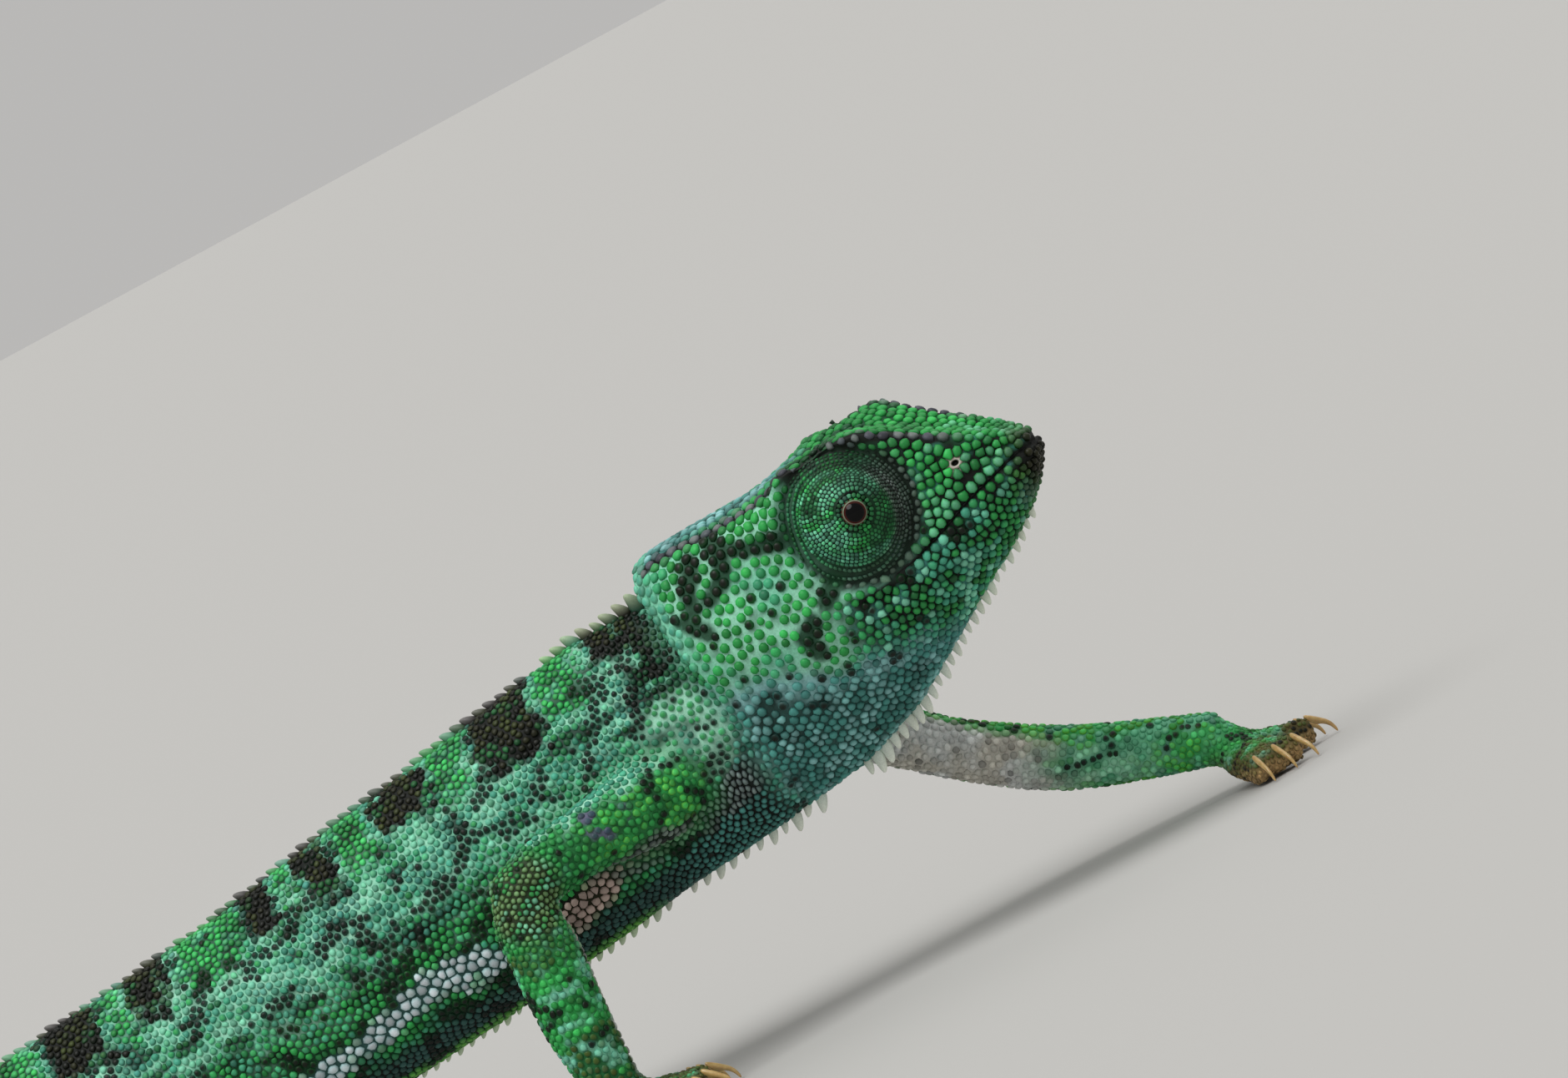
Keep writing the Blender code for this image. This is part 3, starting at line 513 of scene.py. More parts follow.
def dashes(profile, lines, width):
    """1 near any of these lines, seen from the side, and 0 a little beyond their width."""
    away = np.min([distance_to_line(profile, line) for line in lines], axis=0)
    return ramp(away, width + FADE, width - FADE)


# %% [markdown]
# ## Where the scales stand
# A chameleon has no overlapping plates. Its coat is of granules: round beads on the cheek with
# bare skin between them, close-set domes on the trunk, small grains on the feet. They could be
# scattered at random, but then some would overlap and others leave bare patches. So places are
# tried in random order and kept only where no neighbour is too near. Then they push each other
# apart for a few rounds, as growing scales do.

# %% The size and form of the scales, all over the body
STYLES = {  # spacing, how much of it the scale fills, height, and how round it is
    "head": (1.08, 1.0, 0.40, 0.25), "throat": (0.88, 1.0, 0.38, 0.25),
    "neck": (0.74, 0.94, 0.32, 0.4), "trunk": (0.80, 0.95, 0.32, 0.22),
    "tail": (0.80, 0.93, 0.22, 0.45), "turret": (0.42, 0.94, 0.10, 0.5),
    "arm_right": (0.84, 0.94, 0.26, 0.35), "arm_left": (0.84, 0.94, 0.26, 0.35),
    "leg_right": (0.84, 0.94, 0.26, 0.35), "leg_left": (0.84, 0.94, 0.26, 0.35),
    "foot": (0.60, 0.92, 0.17, 0.5),
}
CHEEK, CHEEK_REACH = (11.0, 34.5), (9.5, 7.5)
ELBOW = (-7.2, 16.0, 23.5)
TAIL_THIN_STATION, TAIL_TIP_STATION = -105.0, -150.0
CHEEK_SPACING, CHEEK_FILL, CHEEK_ROUND = 1.22, 0.84, 0.9
BOLD_SPACING, BOLD_FILL = 1.1, 0.97  # the broad flat scales of the pale line
# How much closer the scales stand there than on the rest of their region.
JAW_CLOSER, SNOUT_CLOSER, LIP_CLOSER, ELBOW_CLOSER, TAIL_CLOSER = 0.26, 0.2, 0.16, 0.2, 0.22


def below_mouth(at_head):
    """1 under the line of the mouth, and 0 over it."""
    line = np.array(MOUTH)[::-1]
    return ramp(at_head[:, 2] - np.interp(at_head[:, 0], line[:, 0], line[:, 1]), 0.3, -0.3)


def on_cheek(at_head):
    """1 on the cheek, which is an oval, and 0 a little beyond it."""
    return ramp(np.linalg.norm((at_head[:, [0, 2]] - CHEEK) / CHEEK_REACH, axis=1), 1.25, 0.8)


def towards(value, goal, amount):
    return value + amount * (goal - value)


def scale_style(points, of_region):
    """Spacing, fill, height, roundness and shortness lengthwise of the scales at each point."""
    total = sum(of_region[name] for name in STYLES)
    style = [sum(of_region[name] * STYLES[name][i] for name in STYLES) / total for i in range(4)]
    spacing, fill, height, roundness = style
    at_head, at_trunk = in_head(points), in_trunk(points)
    forward, up = at_head[:, 0], at_head[:, 2]
    on_head = of_region["head"]
    cheek = on_head * on_cheek(at_head)
    spacing, fill = towards(spacing, CHEEK_SPACING, cheek), towards(fill, CHEEK_FILL, cheek)
    roundness = towards(roundness, CHEEK_ROUND, cheek)
    low_jaw = on_head * below_mouth(at_head) * ramp(forward, 16, 20)
    spacing = spacing - low_jaw * JAW_CLOSER
    snout = on_head * ramp(forward, 33, 38)
    spacing = spacing - snout * SNOUT_CLOSER
    lip = on_head * (1 - below_mouth(at_head)) * ramp(forward, 24, 26) * ramp(up, 43.5, 42)
    spacing = spacing - lip * LIP_CLOSER
    tip = of_region["tail"] * ramp(at_trunk[:, 0], TAIL_THIN_STATION, TAIL_TIP_STATION)
    spacing, height = spacing - tip * TAIL_CLOSER, height - tip * 0.08
    flank = at_trunk[:, [0, 2]]
    elbow = np.linalg.norm(as_left(at_trunk) - ELBOW, axis=1)
    arms = of_region["arm_right"] + of_region["arm_left"]
    spacing = spacing - ELBOW_CLOSER * arms * ramp(elbow, 6.0, 4.0)
    pinkish = 0.5 * dashes(flank, (PINK_LINE,), 1.2)
    bold = of_region["trunk"] * np.maximum(dashes(flank, WHITE_LINE, 1.1), pinkish)
    spacing = towards(spacing, BOLD_SPACING, bold)
    fill, roundness = towards(fill, BOLD_FILL, bold), roundness * (1 - 0.8 * bold)
    mint = of_region["neck"] * ramp(np.linalg.norm(flank - MINT_PATCH, axis=1), 5.2, 3.4)
    spacing, fill = spacing + mint * 0.16, fill - mint * 0.14
    roundness = roundness + mint * 0.35
    shortness = 1 + 0.5 * of_region["neck"] * dashes(flank, (GREY_FOLD,), 1.6)
    return spacing, fill, height, roundness, shortness


# %% Rows of scales that follow a line
BROW = ((2.0, 2.6, 43.9), (6.1, 3.1, 44.1), (9.6, 3.7, 44.2), (13.3, 4.2, 44.4), (16.3, 4.9, 45.1),
        (18.5, 5.6, 46.2), (21.0, 6.3, 46.8), (24.0, 6.3, 46.9), (28.2, 4.9, 45.3), (31.0, 3.9, 43.7),
        (34.5, 3.0, 41.4))
LIP_OFFSET, LIP_SLANT, LIP_SPACING = 0.56, 0.4, 1.0
BROW_SPACING, BROW_REACH = 1.3, 0.9
NOSTRIL_RING, NOSTRIL_SCALES = 0.95, 7
ROW_GAP = 0.62  # where two rows meet, scales closer than this are one
BESIDE_HEAD = 14  # a distance to the side that is clear of the head


def lengths_along(line):
    """How far along a line of straight runs each of its corners is."""
    return np.concatenate([[0], np.cumsum(np.linalg.norm(np.diff(line, axis=0), axis=1))])


def at_lengths(line, travelled, goals):
    """The places on the line that are this far along it."""
    return np.stack([np.interp(goals, travelled, column) for column in line.T], axis=1)


def even_points(line, spacing):
    """Places at even steps along a line of straight runs."""
    knots = np.array(line, dtype=float)
    travelled = lengths_along(knots)
    return at_lengths(knots, travelled, np.arange(spacing / 2, travelled[-1], spacing))


def from_side(profile, side):
    """The skin's place where a line straight in from the side meets it, at head coordinates."""
    start = HEAD @ Vector((profile[0], BESIDE_HEAD * side, profile[1]))
    return skin_tree.ray_cast(start, HEAD.to_3x3() @ Vector((0, -side, 0)))[0]


def round_nostril(radius, turn, side):
    """The skin's place this far from the nostril's middle, at this angle round it."""
    ahead, up = NOSTRIL[0] + radius * math.cos(turn), NOSTRIL[2] + radius * math.sin(turn)
    return from_side((ahead, up), side)


rows = []
for side in SIDES.values():
    for offset in (-LIP_OFFSET, LIP_OFFSET):
        hits = [from_side((ahead - LIP_SLANT * offset, up + offset), side)
                for ahead, up in even_points(MOUTH, LIP_SPACING)]
        rows += [hit for hit in hits if hit]
    brow = moved(even_points(BROW, BROW_SPACING) * (1, side, 1), HEAD)
    found = [skin_tree.find_nearest(point) for point in brow]
    rows += [hit for hit, _, _, distance in found if distance < BROW_REACH]
    turns = [2 * math.pi * n / NOSTRIL_SCALES for n in range(NOSTRIL_SCALES)]
    rows += [round_nostril(NOSTRIL_RING, turn, side) for turn in turns]
kept_rows = []
for hit in rows:
    if all((hit - other).length > ROW_GAP for other in kept_rows):
        kept_rows.append(hit)
rows = np.array(kept_rows)
print(f"{len(rows)} scales in rows")

# %% Rings of fine granules on the eye turrets
GRAIN_RING, GRAIN_STEP = 0.41, 0.44  # from ring to ring, and from grain to grain along one
LID_RADIUS, HOLE_EDGE = 1.22, 2.3  # where the rings start, and where the eye's hollow ends
TURRET_Y, TURRET_OUT = 4.4, 5.3  # the turret's middle, and how far it bulges from there
TURRET_EDGE = math.radians(93)
GAZE_RINGS_TO, FLANK_RINGS_FROM = 0.5, 1.4  # angles between which the rings change their axis
STEEPEST = 0.45  # less than this between ray and surface is another fold of the skin


def turret_gaze(side):
    """The middle of a turret, and the direction in which its eye looks."""
    centre = HEAD @ Vector((TURRET[0], TURRET_Y * SIDES[side], TURRET[1]))
    return centre, (middle_of("eyeball_" + side) - centre).normalized()


def turret_grains(side):
    """Granules in rings round the pupil, which turn into rings round the whole turret."""
    centre, gaze = turret_gaze(side)
    outwards = HEAD.to_3x3() @ Vector((0, SIDES[side], 0))
    ring_dice = np.random.default_rng(3)
    grains, rays = [], []
    angle = LID_RADIUS / TURRET_RADIUS
    while angle < TURRET_EDGE:
        axis = gaze.lerp(outwards, ramp(angle, GAZE_RINGS_TO, FLANK_RINGS_FROM)).normalized()
        across = axis.orthogonal().normalized()
        count = max(int(2 * math.pi * TURRET_RADIUS * math.sin(angle) / GRAIN_STEP), 6)
        twist = ring_dice.uniform(0, 1)
        for n in range(count):
            turn = 2 * math.pi * (n + twist) / count
            ray = axis * math.cos(angle) + (Matrix.Rotation(turn, 3, axis) @ across) * math.sin(angle)
            sideways = ray.dot(outwards)
            inverse_square = (1 - sideways**2) / TURRET_RADIUS**2 + (sideways / TURRET_OUT) ** 2
            bulge = 1 / math.sqrt(inverse_square) - COAT_DEPTH
            hit, facing, _, _ = skin_tree.ray_cast(centre, ray)
            from_middle = Vector(in_head(np.array([hit]))[0, [0, 2]]) - Vector(TURRET)
            if from_middle.length < TURRET_RADIUS + 0.2 and abs(facing.dot(ray)) > STEEPEST:
                grains.append(centre + ray * bulge if angle < HOLE_EDGE / TURRET_RADIUS else hit)
                rays.append(ray)
        angle += GRAIN_RING / TURRET_RADIUS
    return grains, rays


both_turrets = zip(turret_grains("right"), turret_grains("left"))
grains, grain_rays = (np.array(right + left) for right, left in both_turrets)
print(f"{len(grains)} granules on the turrets, {time.time() - started:.1f} s")

# %% Try places for the rest and keep those with room
TRIES_EACH = 9.0
FIRST_APART = 0.665  # share of the spacing that a kept place has to itself at first
CLOSE_PACKED = 0.866  # a close-set scale takes up this share of its spacing squared
# How far the scattered scales stay from the lips' line, the nostrils, the floor and the rows.
LIP_CLEAR, NOSTRIL_CLEAR, SOLE_HEIGHT, ROW_CLEAR = 0.55, 0.75, 0.3, 0.95
dice = np.random.default_rng(7)


def tried_places():
    """Random places on the skin, several for each scale that fits there."""
    a, b, c, d = (skin[quads[:, i]] for i in range(4))
    areas = np.linalg.norm(np.cross(c - a, d - b), axis=1) / 2
    spacing = scale_style((a + c) / 2, shares_at(np.arange(len(quads))))[0]
    wanted = TRIES_EACH * areas / (CLOSE_PACKED * spacing**2)
    count = int(wanted.sum())
    print(f"skin of {areas.sum():.0f} mm2 has room for {count / TRIES_EACH:.0f} scales")
    faces = dice.choice(len(quads), size=count, p=wanted / wanted.sum())
    u, v = dice.random((2, count, 1))
    one_side, other_side = (1 - v) * a[faces] + v * d[faces], (1 - v) * b[faces] + v * c[faces]
    return (1 - u) * one_side + u * other_side, faces


def closed_to_scales(points, of_region):
    """Where no scattered scale stands: the lips' line, the nostrils, the turrets, the soles."""
    at_head = in_head(points)
    profile = at_head[:, [0, 2]]
    on_head = of_region["head"] + of_region["turret"] + of_region["throat"] > 0.5
    from_turret = np.linalg.norm(profile - TURRET, axis=1)
    closed = on_head & (from_turret < TURRET_RADIUS + 0.1) & (abs(at_head[:, 1]) > 4.0)
    closed |= on_head & (distance_to_line(profile, MOUTH) < LIP_CLEAR)
    closed |= on_head & (np.linalg.norm(profile - (NOSTRIL[0], NOSTRIL[2]), axis=1) < NOSTRIL_CLEAR)
    return closed | (points[:, 2] < SOLE_HEIGHT)


def search_tree(points):
    """A tree that finds the nearest of these points."""
    tree = KDTree(len(points))
    for i, point in enumerate(points):
        tree.insert(point, i)
    tree.balance()
    return tree


def with_room(places, faces):
    """Keeps places, first come first served, where the nearest kept one is far enough off."""
    of_region = shares_at(faces)
    radius = scale_style(places, of_region)[0] * FIRST_APART
    first = len(rows) + len(grains)
    everything = np.concatenate([rows, grains, places])
    tree = search_tree(everything)
    dead = np.zeros(len(everything), dtype=bool)
    dead[first:] = closed_to_scales(places, of_region)
    for point in rows:
        for _, j, _ in tree.find_range(point, ROW_CLEAR):
            dead[j] |= j >= first
    for i in range(first, len(everything)):
        if not dead[i]:
            for _, j, _ in tree.find_range(everything[i], radius[i - first]):
                if j != i:
                    dead[j] |= j >= first
    return places[~dead[first:]]


places = with_room(*tried_places())
print(f"{len(places)} scattered scales, {time.time() - started:.1f} s")

# %% Let them push each other apart
PUSH_ROUNDS, PUSH = 24, 0.7
AROUND = 12  # how many neighbours a scale feels
fixed = len(rows) + len(grains)
roots = np.concatenate([rows, grains, places])


def surroundings(points):
    """Indices of each point's nearest others."""
    tree = search_tree(points)
    return np.array([[found[1] for found in tree.find_n(point, AROUND + 1)][1:] for point in points])


calm_normals = normals
for _ in range(4):
    calm_normals = neighbour_mean(calm_normals)


def measured(faces):
    """Region shares, normal and lengthwise direction at each root, from the face it is on."""
    normal = unit(at_faces(calm_normals, faces))
    return shares_at(faces), normal, square_to(at_faces(lengthwise, faces), normal)


faces = onto_skin(roots)[1]
for n in range(PUSH_ROUNDS):
    if n % 2 == 0:
        of_region, normal, along = measured(faces)
        spacing, _, _, _, shortness = scale_style(roots, of_region)
        spacing[len(rows):fixed] = GRAIN_STEP
        others = surroundings(roots)
    offset = roots[others] - roots[:, None, :]
    along_part = (offset * along[:, None, :]).sum(axis=2)
    felt = offset + along_part[:, :, None] * (shortness - 1)[:, None, None] * along[:, None, :]
    distance = np.linalg.norm(felt, axis=2)
    reach = (spacing[:, None] + spacing[others]) / 2
    pressed = np.clip(1 - distance / reach, 0, 1)[:, :, None]
    force = pressed * offset / np.maximum(distance, 1e-6)[:, :, None]
    roots[fixed:] -= (PUSH * force.sum(axis=1) * spacing[:, None])[fixed:]
    roots[fixed:], faces[fixed:] = onto_skin(roots[fixed:])
of_region, normal, along = measured(faces)
normal[len(rows):fixed] = grain_rays
along = square_to(along, normal)
stray = closed_to_scales(roots, of_region)
stray[:fixed] = False
roots, faces, normal, along = roots[~stray], faces[~stray], normal[~stray], along[~stray]
of_region = {name: value[~stray] for name, value in of_region.items()}
print(f"{len(roots)} scales in place, {time.time() - started:.1f} s")

# %% [markdown]
# ## The shape of a scale
# Every scale is a low dome. Its rim runs along the middle lines between its root and those of its
# neighbours, so that close-set scales grow the four to seven blunt corners that real granules
# have, and where the style asks for rounder ones the rim is drawn in towards a circle. All are
# made at once as arrays, because a node tree can't read where its neighbours' rims are.

# %% Rims from the neighbours
SPOKES = 8
LONGEST_RIM = 0.74  # of the spacing, where no neighbour is near
BURIED = 0.12  # how deep a scale's foot is in the skin
GRAIN_FILL, GRAIN_HEIGHT, GRAIN_ROUND = 0.96, 0.10, 0.15
AWAY = 9.0  # further than any rim
DOME = ((1.0, 0.0), (0.86, 0.55), (0.5, 0.9))  # share of the rim's reach, share of the height


def rim_reaches():
    """For each root, how far its rim is in each direction, and the styles that shape it."""
    spacing, fill, height, roundness, shortness = scale_style(roots, of_region)
    on_turret = slice(len(rows), fixed)
    spacing[on_turret], fill[on_turret] = GRAIN_STEP, GRAIN_FILL
    height[on_turret], roundness[on_turret] = GRAIN_HEIGHT, GRAIN_ROUND
    across = np.cross(normal, along)
    others = surroundings(roots)
    offset = roots[others] - roots[:, None, :]
    x = (offset * along[:, None, :]).sum(axis=2) * shortness[:, None]
    y = (offset * across[:, None, :]).sum(axis=2)
    squared = x**2 + y**2
    reach = np.empty((len(roots), SPOKES))
    for k in range(SPOKES):
        angle = 2 * math.pi * k / SPOKES
        ahead = x * math.cos(angle) + y * math.sin(angle)
        halfway = np.where(ahead > 1e-3, squared / (2 * np.maximum(ahead, 1e-3)), AWAY)
        reach[:, k] = np.minimum(halfway.min(axis=1), LONGEST_RIM * spacing)
    least = reach.min(axis=1)[:, None]
    circle = np.minimum(least * 0.97, 0.52 * (spacing * fill)[:, None])
    reach = fill[:, None] * reach * (1 - roundness[:, None]) + circle * roundness[:, None]
    return reach, height * np.clip(2 * least[:, 0] / spacing, 0.2, 1.15), shortness, across


reach, height, shortness, across = rim_reaches()


# %% Domes on the rims
def scale_arrays(pick):
    """Points of the picked scales, a row for each, and the place of a scale's points on its patch."""
    rings, patches = [], []
    angles = 2 * math.pi * np.arange(SPOKES) / SPOKES
    for share_out, share_up in DOME:
        x = reach[pick] * np.cos(angles) * share_out / shortness[pick][:, None]
        y = reach[pick] * np.sin(angles) * share_out
        up = height[pick] * share_up - (BURIED if share_up == 0 else 0)
        rings.append(
            roots[pick][:, None, :]
            + x[:, :, None] * along[pick][:, None, :]
            + y[:, :, None] * across[pick][:, None, :]
            + (up[:, None] * normal[pick])[:, None, :]
        )
        patches.append(np.stack([share_out * np.cos(angles), share_out * np.sin(angles)], axis=1))
    top = roots[pick] + height[pick][:, None] * normal[pick]
    points = np.concatenate([*rings, top[:, None, :]], axis=1)
    patch = np.concatenate([*patches, np.zeros((1, 2))])
    return points, patch


def bands(rings, spokes):
    """Corners of the faces between rings of points that follow each other."""
    sides = [(k, (k + 1) % spokes, (k + 1) % spokes + spokes, k + spokes) for k in range(spokes)]
    return [tuple(r * spokes + corner for corner in side) for r in range(rings - 1) for side in sides]


def dome_faces(rings, spokes):
    """Bands between the rings, a fan up to the point after the last ring, and a closed foot."""
    last, top = (rings - 1) * spokes, rings * spokes
    fan = [(last + k, last + (k + 1) % spokes, top) for k in range(spokes)]
    return bands(rings, spokes) + fan + [tuple(range(spokes - 1, -1, -1))]


def many_alike(name, points, faces_of_one, count, per_one):
    """A mesh of count like pieces whose points follow each other."""
    corners = np.array([corner for face in faces_of_one for corner in face])
    sizes = np.array([len(face) for face in faces_of_one])
    all_corners = (corners[None, :] + per_one * np.arange(count)[:, None]).ravel()
    starts = np.concatenate([[0], np.cumsum(np.tile(sizes, count))[:-1]])
    mesh = bpy.data.meshes.new(name)
    mesh.vertices.add(len(points))
    mesh.vertices.foreach_set("co", (points * MM).ravel())
    mesh.loops.add(len(all_corners))
    mesh.loops.foreach_set("vertex_index", all_corners)
    mesh.polygons.add(len(starts))
    mesh.polygons.foreach_set("loop_start", starts)
    mesh.update(calc_edges=True)
    mesh.shade_smooth()
    return mesh, all_corners


# %% [markdown]
# ## Colours
# Paint makers give colours as they look on a screen, in sRGB, while light is added up in linear
# numbers. One function turns the first into the second.

# %% The palette
def linear(hex_colour):
    """An sRGB colour such as 3f9a4a as linear red, green and blue."""
    srgb = np.array([int(hex_colour[i:i + 2], 16) for i in (0, 2, 4)]) / 255
    return np.where(srgb <= 0.04045, srgb / 12.92, ((srgb + 0.055) / 1.055) ** 2.4)


COLOURS = {name: linear(value) for name, value in {
    "leaf": "2b9246", "bright": "38b053", "lime": "62ab3a", "deep": "124527", "moss": "226436",
    "black": "080c08", "brown": "12150b", "umber": "232411", "olive": "43521f", "mint": "78c0a2",
    "pale": "98d0b6", "sea": "44977e", "teal": "44867e", "slate": "2c4f4a", "sky": "82b3b2",
    "white": "ccd3d8", "pink": "b5a198", "grey": "727a76", "violet": "5d5975", "navy": "2b3350",
    "flesh": "bdbab0", "tan": "a8895c", "toe": "5b5230", "brow": "4a4c54", "sage": "6d8f62",
    "pale_tip": "b9c4a4", "purple_tip": "8b8a88", "backlit_cream": "f0f4e6", "dusk": "3a3038",
    "iris": "4a1c16", "pupil": "060606", "lid_pale": "6f7864",
}.items()}


def paint(tones, amount, **colours):
    """Lays a colour of the palette over each named layer of the tones, as thickly as amount says."""
    for layer, colour in colours.items():
        tones[layer] += np.clip(amount, 0, 1)[:, None] * (COLOURS[colour] - tones[layer])


def below_eye(at_head):
    """1 on the lower and front side of a turret, where its groove is wider and greyer."""
    return ramp((TURRET[1] - at_head[:, 2]) + 0.8 * (at_head[:, 0] - TURRET[0]), -1.5, 2.5)


# %% The back line and the belly line
trunk_points = in_trunk(skin)
in_middle = (abs(trunk_points[:, 1]) < 3) & (near("trunk", "neck") > 0)
LINE_START, LINE_END, LINE_STEP = -92.0, 16.0, 2.0
FEWEST_POINTS, LEAST_HEIGHT = 8, 5
stations, back_line, belly_line = [], [], []
for station in np.arange(LINE_START, LINE_END, LINE_STEP):
    column = trunk_points[in_middle & (abs(trunk_points[:, 0] - station) < 1.5), 2]
    if len(column) > FEWEST_POINTS and np.ptp(column) > LEAST_HEIGHT:
        stations.append(station)
        back_line.append(column.max())
        belly_line.append(column.min())
print(f"back line known from station {stations[0]:.0f} to {stations[-1]:.0f}")

# %% [markdown]
# The colours go on in coats, as a model painter's do: the ground colour first, then what lies over
# it. Each line says where a coat is, as a product of ramps, and its colour on skin, rim and top.
# A ramp over fine noise picks single scales, one over broad noise picks patches, and one over
# streaked noise makes short rows.

# %% Colours of trunk and neck
def colour_trunk(tones, place):
    """Mint flanks in streaks, greener and darker below, saddles on the back, a white line."""
    at, fine, broad, streak = place["trunk"], place["fine"], place["broad"], place["streak"]
    flank = at[:, [0, 2]]
    back, belly = (np.interp(at[:, 0], stations, line) for line in (back_line, belly_line))
    up = (at[:, 2] - belly) / (back - belly)
    off_crest = abs(at[:, 1])
    here = place["share"]["trunk"] + place["share"]["neck"]
    paint(tones, here, skin="mint", rim="sea", top="sea")
    paint(tones, here * ramp(fine, -0.1, 0.2), rim="sea", top="leaf")
    paint(tones, here * ramp(fine + 0.5 * streak, 0.1, 0.5) * 0.5, top="mint")
    lower = here * ramp(up + 0.12 * broad + 0.08 * fine, 0.58, 0.42)
    paint(tones, lower, skin="deep", rim="leaf", top="leaf")
    pale = here * ramp(streak, 0.0, 0.4) * ramp(up, 0.25, 0.55)
    paint(tones, pale * 0.8, skin="pale", rim="mint", top="mint")
    paint(tones, lower * ramp(streak, 0.1, 0.5), rim="leaf", top="sea")
    paint(tones, here * ramp(streak, -0.18, -0.45) * 0.9, skin="black", rim="deep", top="moss")
    paint(tones, here * ramp(broad, -0.15, -0.4) * 0.6, rim="slate", top="teal")
    paint(tones, here * ramp(up, 0.17, 0.09), skin="black", rim="slate", top="slate")
    paint(tones, here * ramp(up, 0.045, 0.02) * ramp(at[:, 0], 2, -2), rim="moss", top="lime")
    neck = place["share"]["neck"]
    low_neck = neck * ramp(at[:, 2], 30, 27) * ramp(at[:, 0], 2, 8)
    paint(tones, low_neck, skin="black", rim="slate", top="teal")
    behind = neck * ramp(place["head"][:, 0], -5.5, -3.0) * ramp(place["head"][:, 2] + 1.5 * broad, 28, 31)
    paint(tones, behind * ramp(fine, 0.45, 0.1), skin="black", rim="black", top="deep")
    mint = here * ramp(np.linalg.norm(flank - MINT_PATCH, axis=1) + 0.8 * fine, 5.0, 3.6)
    paint(tones, mint, skin="pale", rim="mint", top="leaf")
    from_shade = np.linalg.norm((flank - SHADED_PATCH) * (1, 1.5), axis=1)
    shaded = here * ramp(from_shade + 1.5 * broad, 6.5, 4.0)
    paint(tones, shaded * ramp(fine, 0.3, 0.0) * 0.7, skin="slate", rim="teal", top="teal")
    paint(tones, shaded * ramp(streak, -0.05, -0.3) * 0.9, skin="black", rim="slate", top="slate")
    fold = here * dashes(flank + fine[:, None] * 0.8, (GREY_FOLD,), 1.5) * ramp(off_crest, 2.5, 4)
    paint(tones, fold * 0.85, skin="black", rim="brow", top="grey")
    dark = dashes(flank + np.stack([fine, broad], axis=1) * 0.7, BLOTCHES, 0.75) * 0.95
    dark = np.maximum(dark, ramp(place["spots"], 0.34, 0.44) * ramp(at[:, 0], 16, 12))
    dark = np.maximum(dark, ramp(broad, 0.38, 0.55) * ramp(up, 0.55, 0.4) * 0.8)
    deep_enough = back - at[:, 2] + 1.5 * fine + 1.2 * broad
    slanted = at[:, 0] - 0.25 * abs(at[:, 1]) + 1.2 * broad + 1.4 * fine
    for start, end, depth in SADDLES:
        inside = ramp(slanted, start, start + 0.8) * ramp(slanted, end, end - 0.8)
        inside *= ramp(deep_enough, depth + 0.4, depth - 1.0)
        paint(tones, here * inside, skin="black", rim="brown", top="umber")
        paint(tones, here * inside * ramp(fine, 0.0, 0.3) * 0.5, top="olive", rim="brown")
        paint(tones, here * inside * ramp(streak, 0.15, 0.4) * 0.8, top="moss", rim="deep")
        dark = np.where(inside > 0.4, ramp(fine, 0.1, -0.3) * 0.7, dark)
    off_saddles = [
        1 - ramp(slanted, start - 0.9, start) * ramp(slanted, end + 0.9, end) for start, end, _ in SADDLES
    ]
    between = ramp(deep_enough, 6.0, 3.5) * np.prod(off_saddles, axis=0) * ramp(at[:, 0], 6, 3)
    paint(tones, here * between * 0.9, skin="deep", rim="leaf", top="bright")
    paint(tones, here * between * ramp(fine, 0.15, 0.45) * 0.6, skin="sea", rim="sea", top="mint")
    paint(tones, here * between * ramp(streak, -0.1, -0.4) * 0.6, skin="black", rim="deep", top="moss")
    wide = 1.15 + 0.5 * ramp(at[:, 0], -26, -20)
    frayed = flank + np.stack([fine, fine + broad], axis=1) * 0.8
    white = here * dashes(frayed, WHITE_LINE, wide) * ramp(off_crest, 2, 4)
    pink = here * dashes(flank + fine[:, None] * 0.3, (PINK_LINE,), 1.3) * ramp(off_crest, 2, 4)
    thin = here * dashes(flank, (PINK_FOLD,), 0.3) * ramp(off_crest, 2, 4)
    paint(tones, white, skin="slate", rim="sky", top="white")
    paint(tones, np.maximum(pink, thin), skin="umber", rim="pink", top="pink")
    return here * dark * (1 - np.maximum(white, np.maximum(pink, fold * 0.5)))


# %% Colours of the head
# In head coordinates, seen from the side: forward from the casque's back, and up.
HEAD_BARS = (
    ((9.4, 43.2), (11.5, 42.3), (14.2, 41.5), (16.6, 41.0)), ((6.9, 42.8), (5.7, 41.2), (5.4, 39.2)),
    ((9.8, 42.2), (9.6, 40.6), (7.4, 39.3)), ((4.0, 38.4), (5.8, 36.9)), ((19.0, 36.4), (17.2, 34.8)),
    ((15.3, 33.7), (13.7, 32.4), (14.3, 31.0)),
)
HEAD_SPOTS = (
    (14.4, 37.7), (11.1, 38.5), (12.4, 35.5), (10.0, 35.6), (17.7, 30.3), (10.7, 30.8), (6.7, 31.7),
    (5.6, 35.0), (29.8, 34.4), (30.8, 34.4), (27.5, 36.6), (24.4, 33.2), (20.0, 32.1), (17.5, 31.1),
    (23.2, 29.2), (1.5, 33.5), (6.2, 25.9), (11.6, 26.6), (8.6, 28.6), (15.4, 28.4), (19.4, 27.2),
    (4.2, 30.2), (13.2, 28.9),
)
SPOT_RADIUS = 0.62


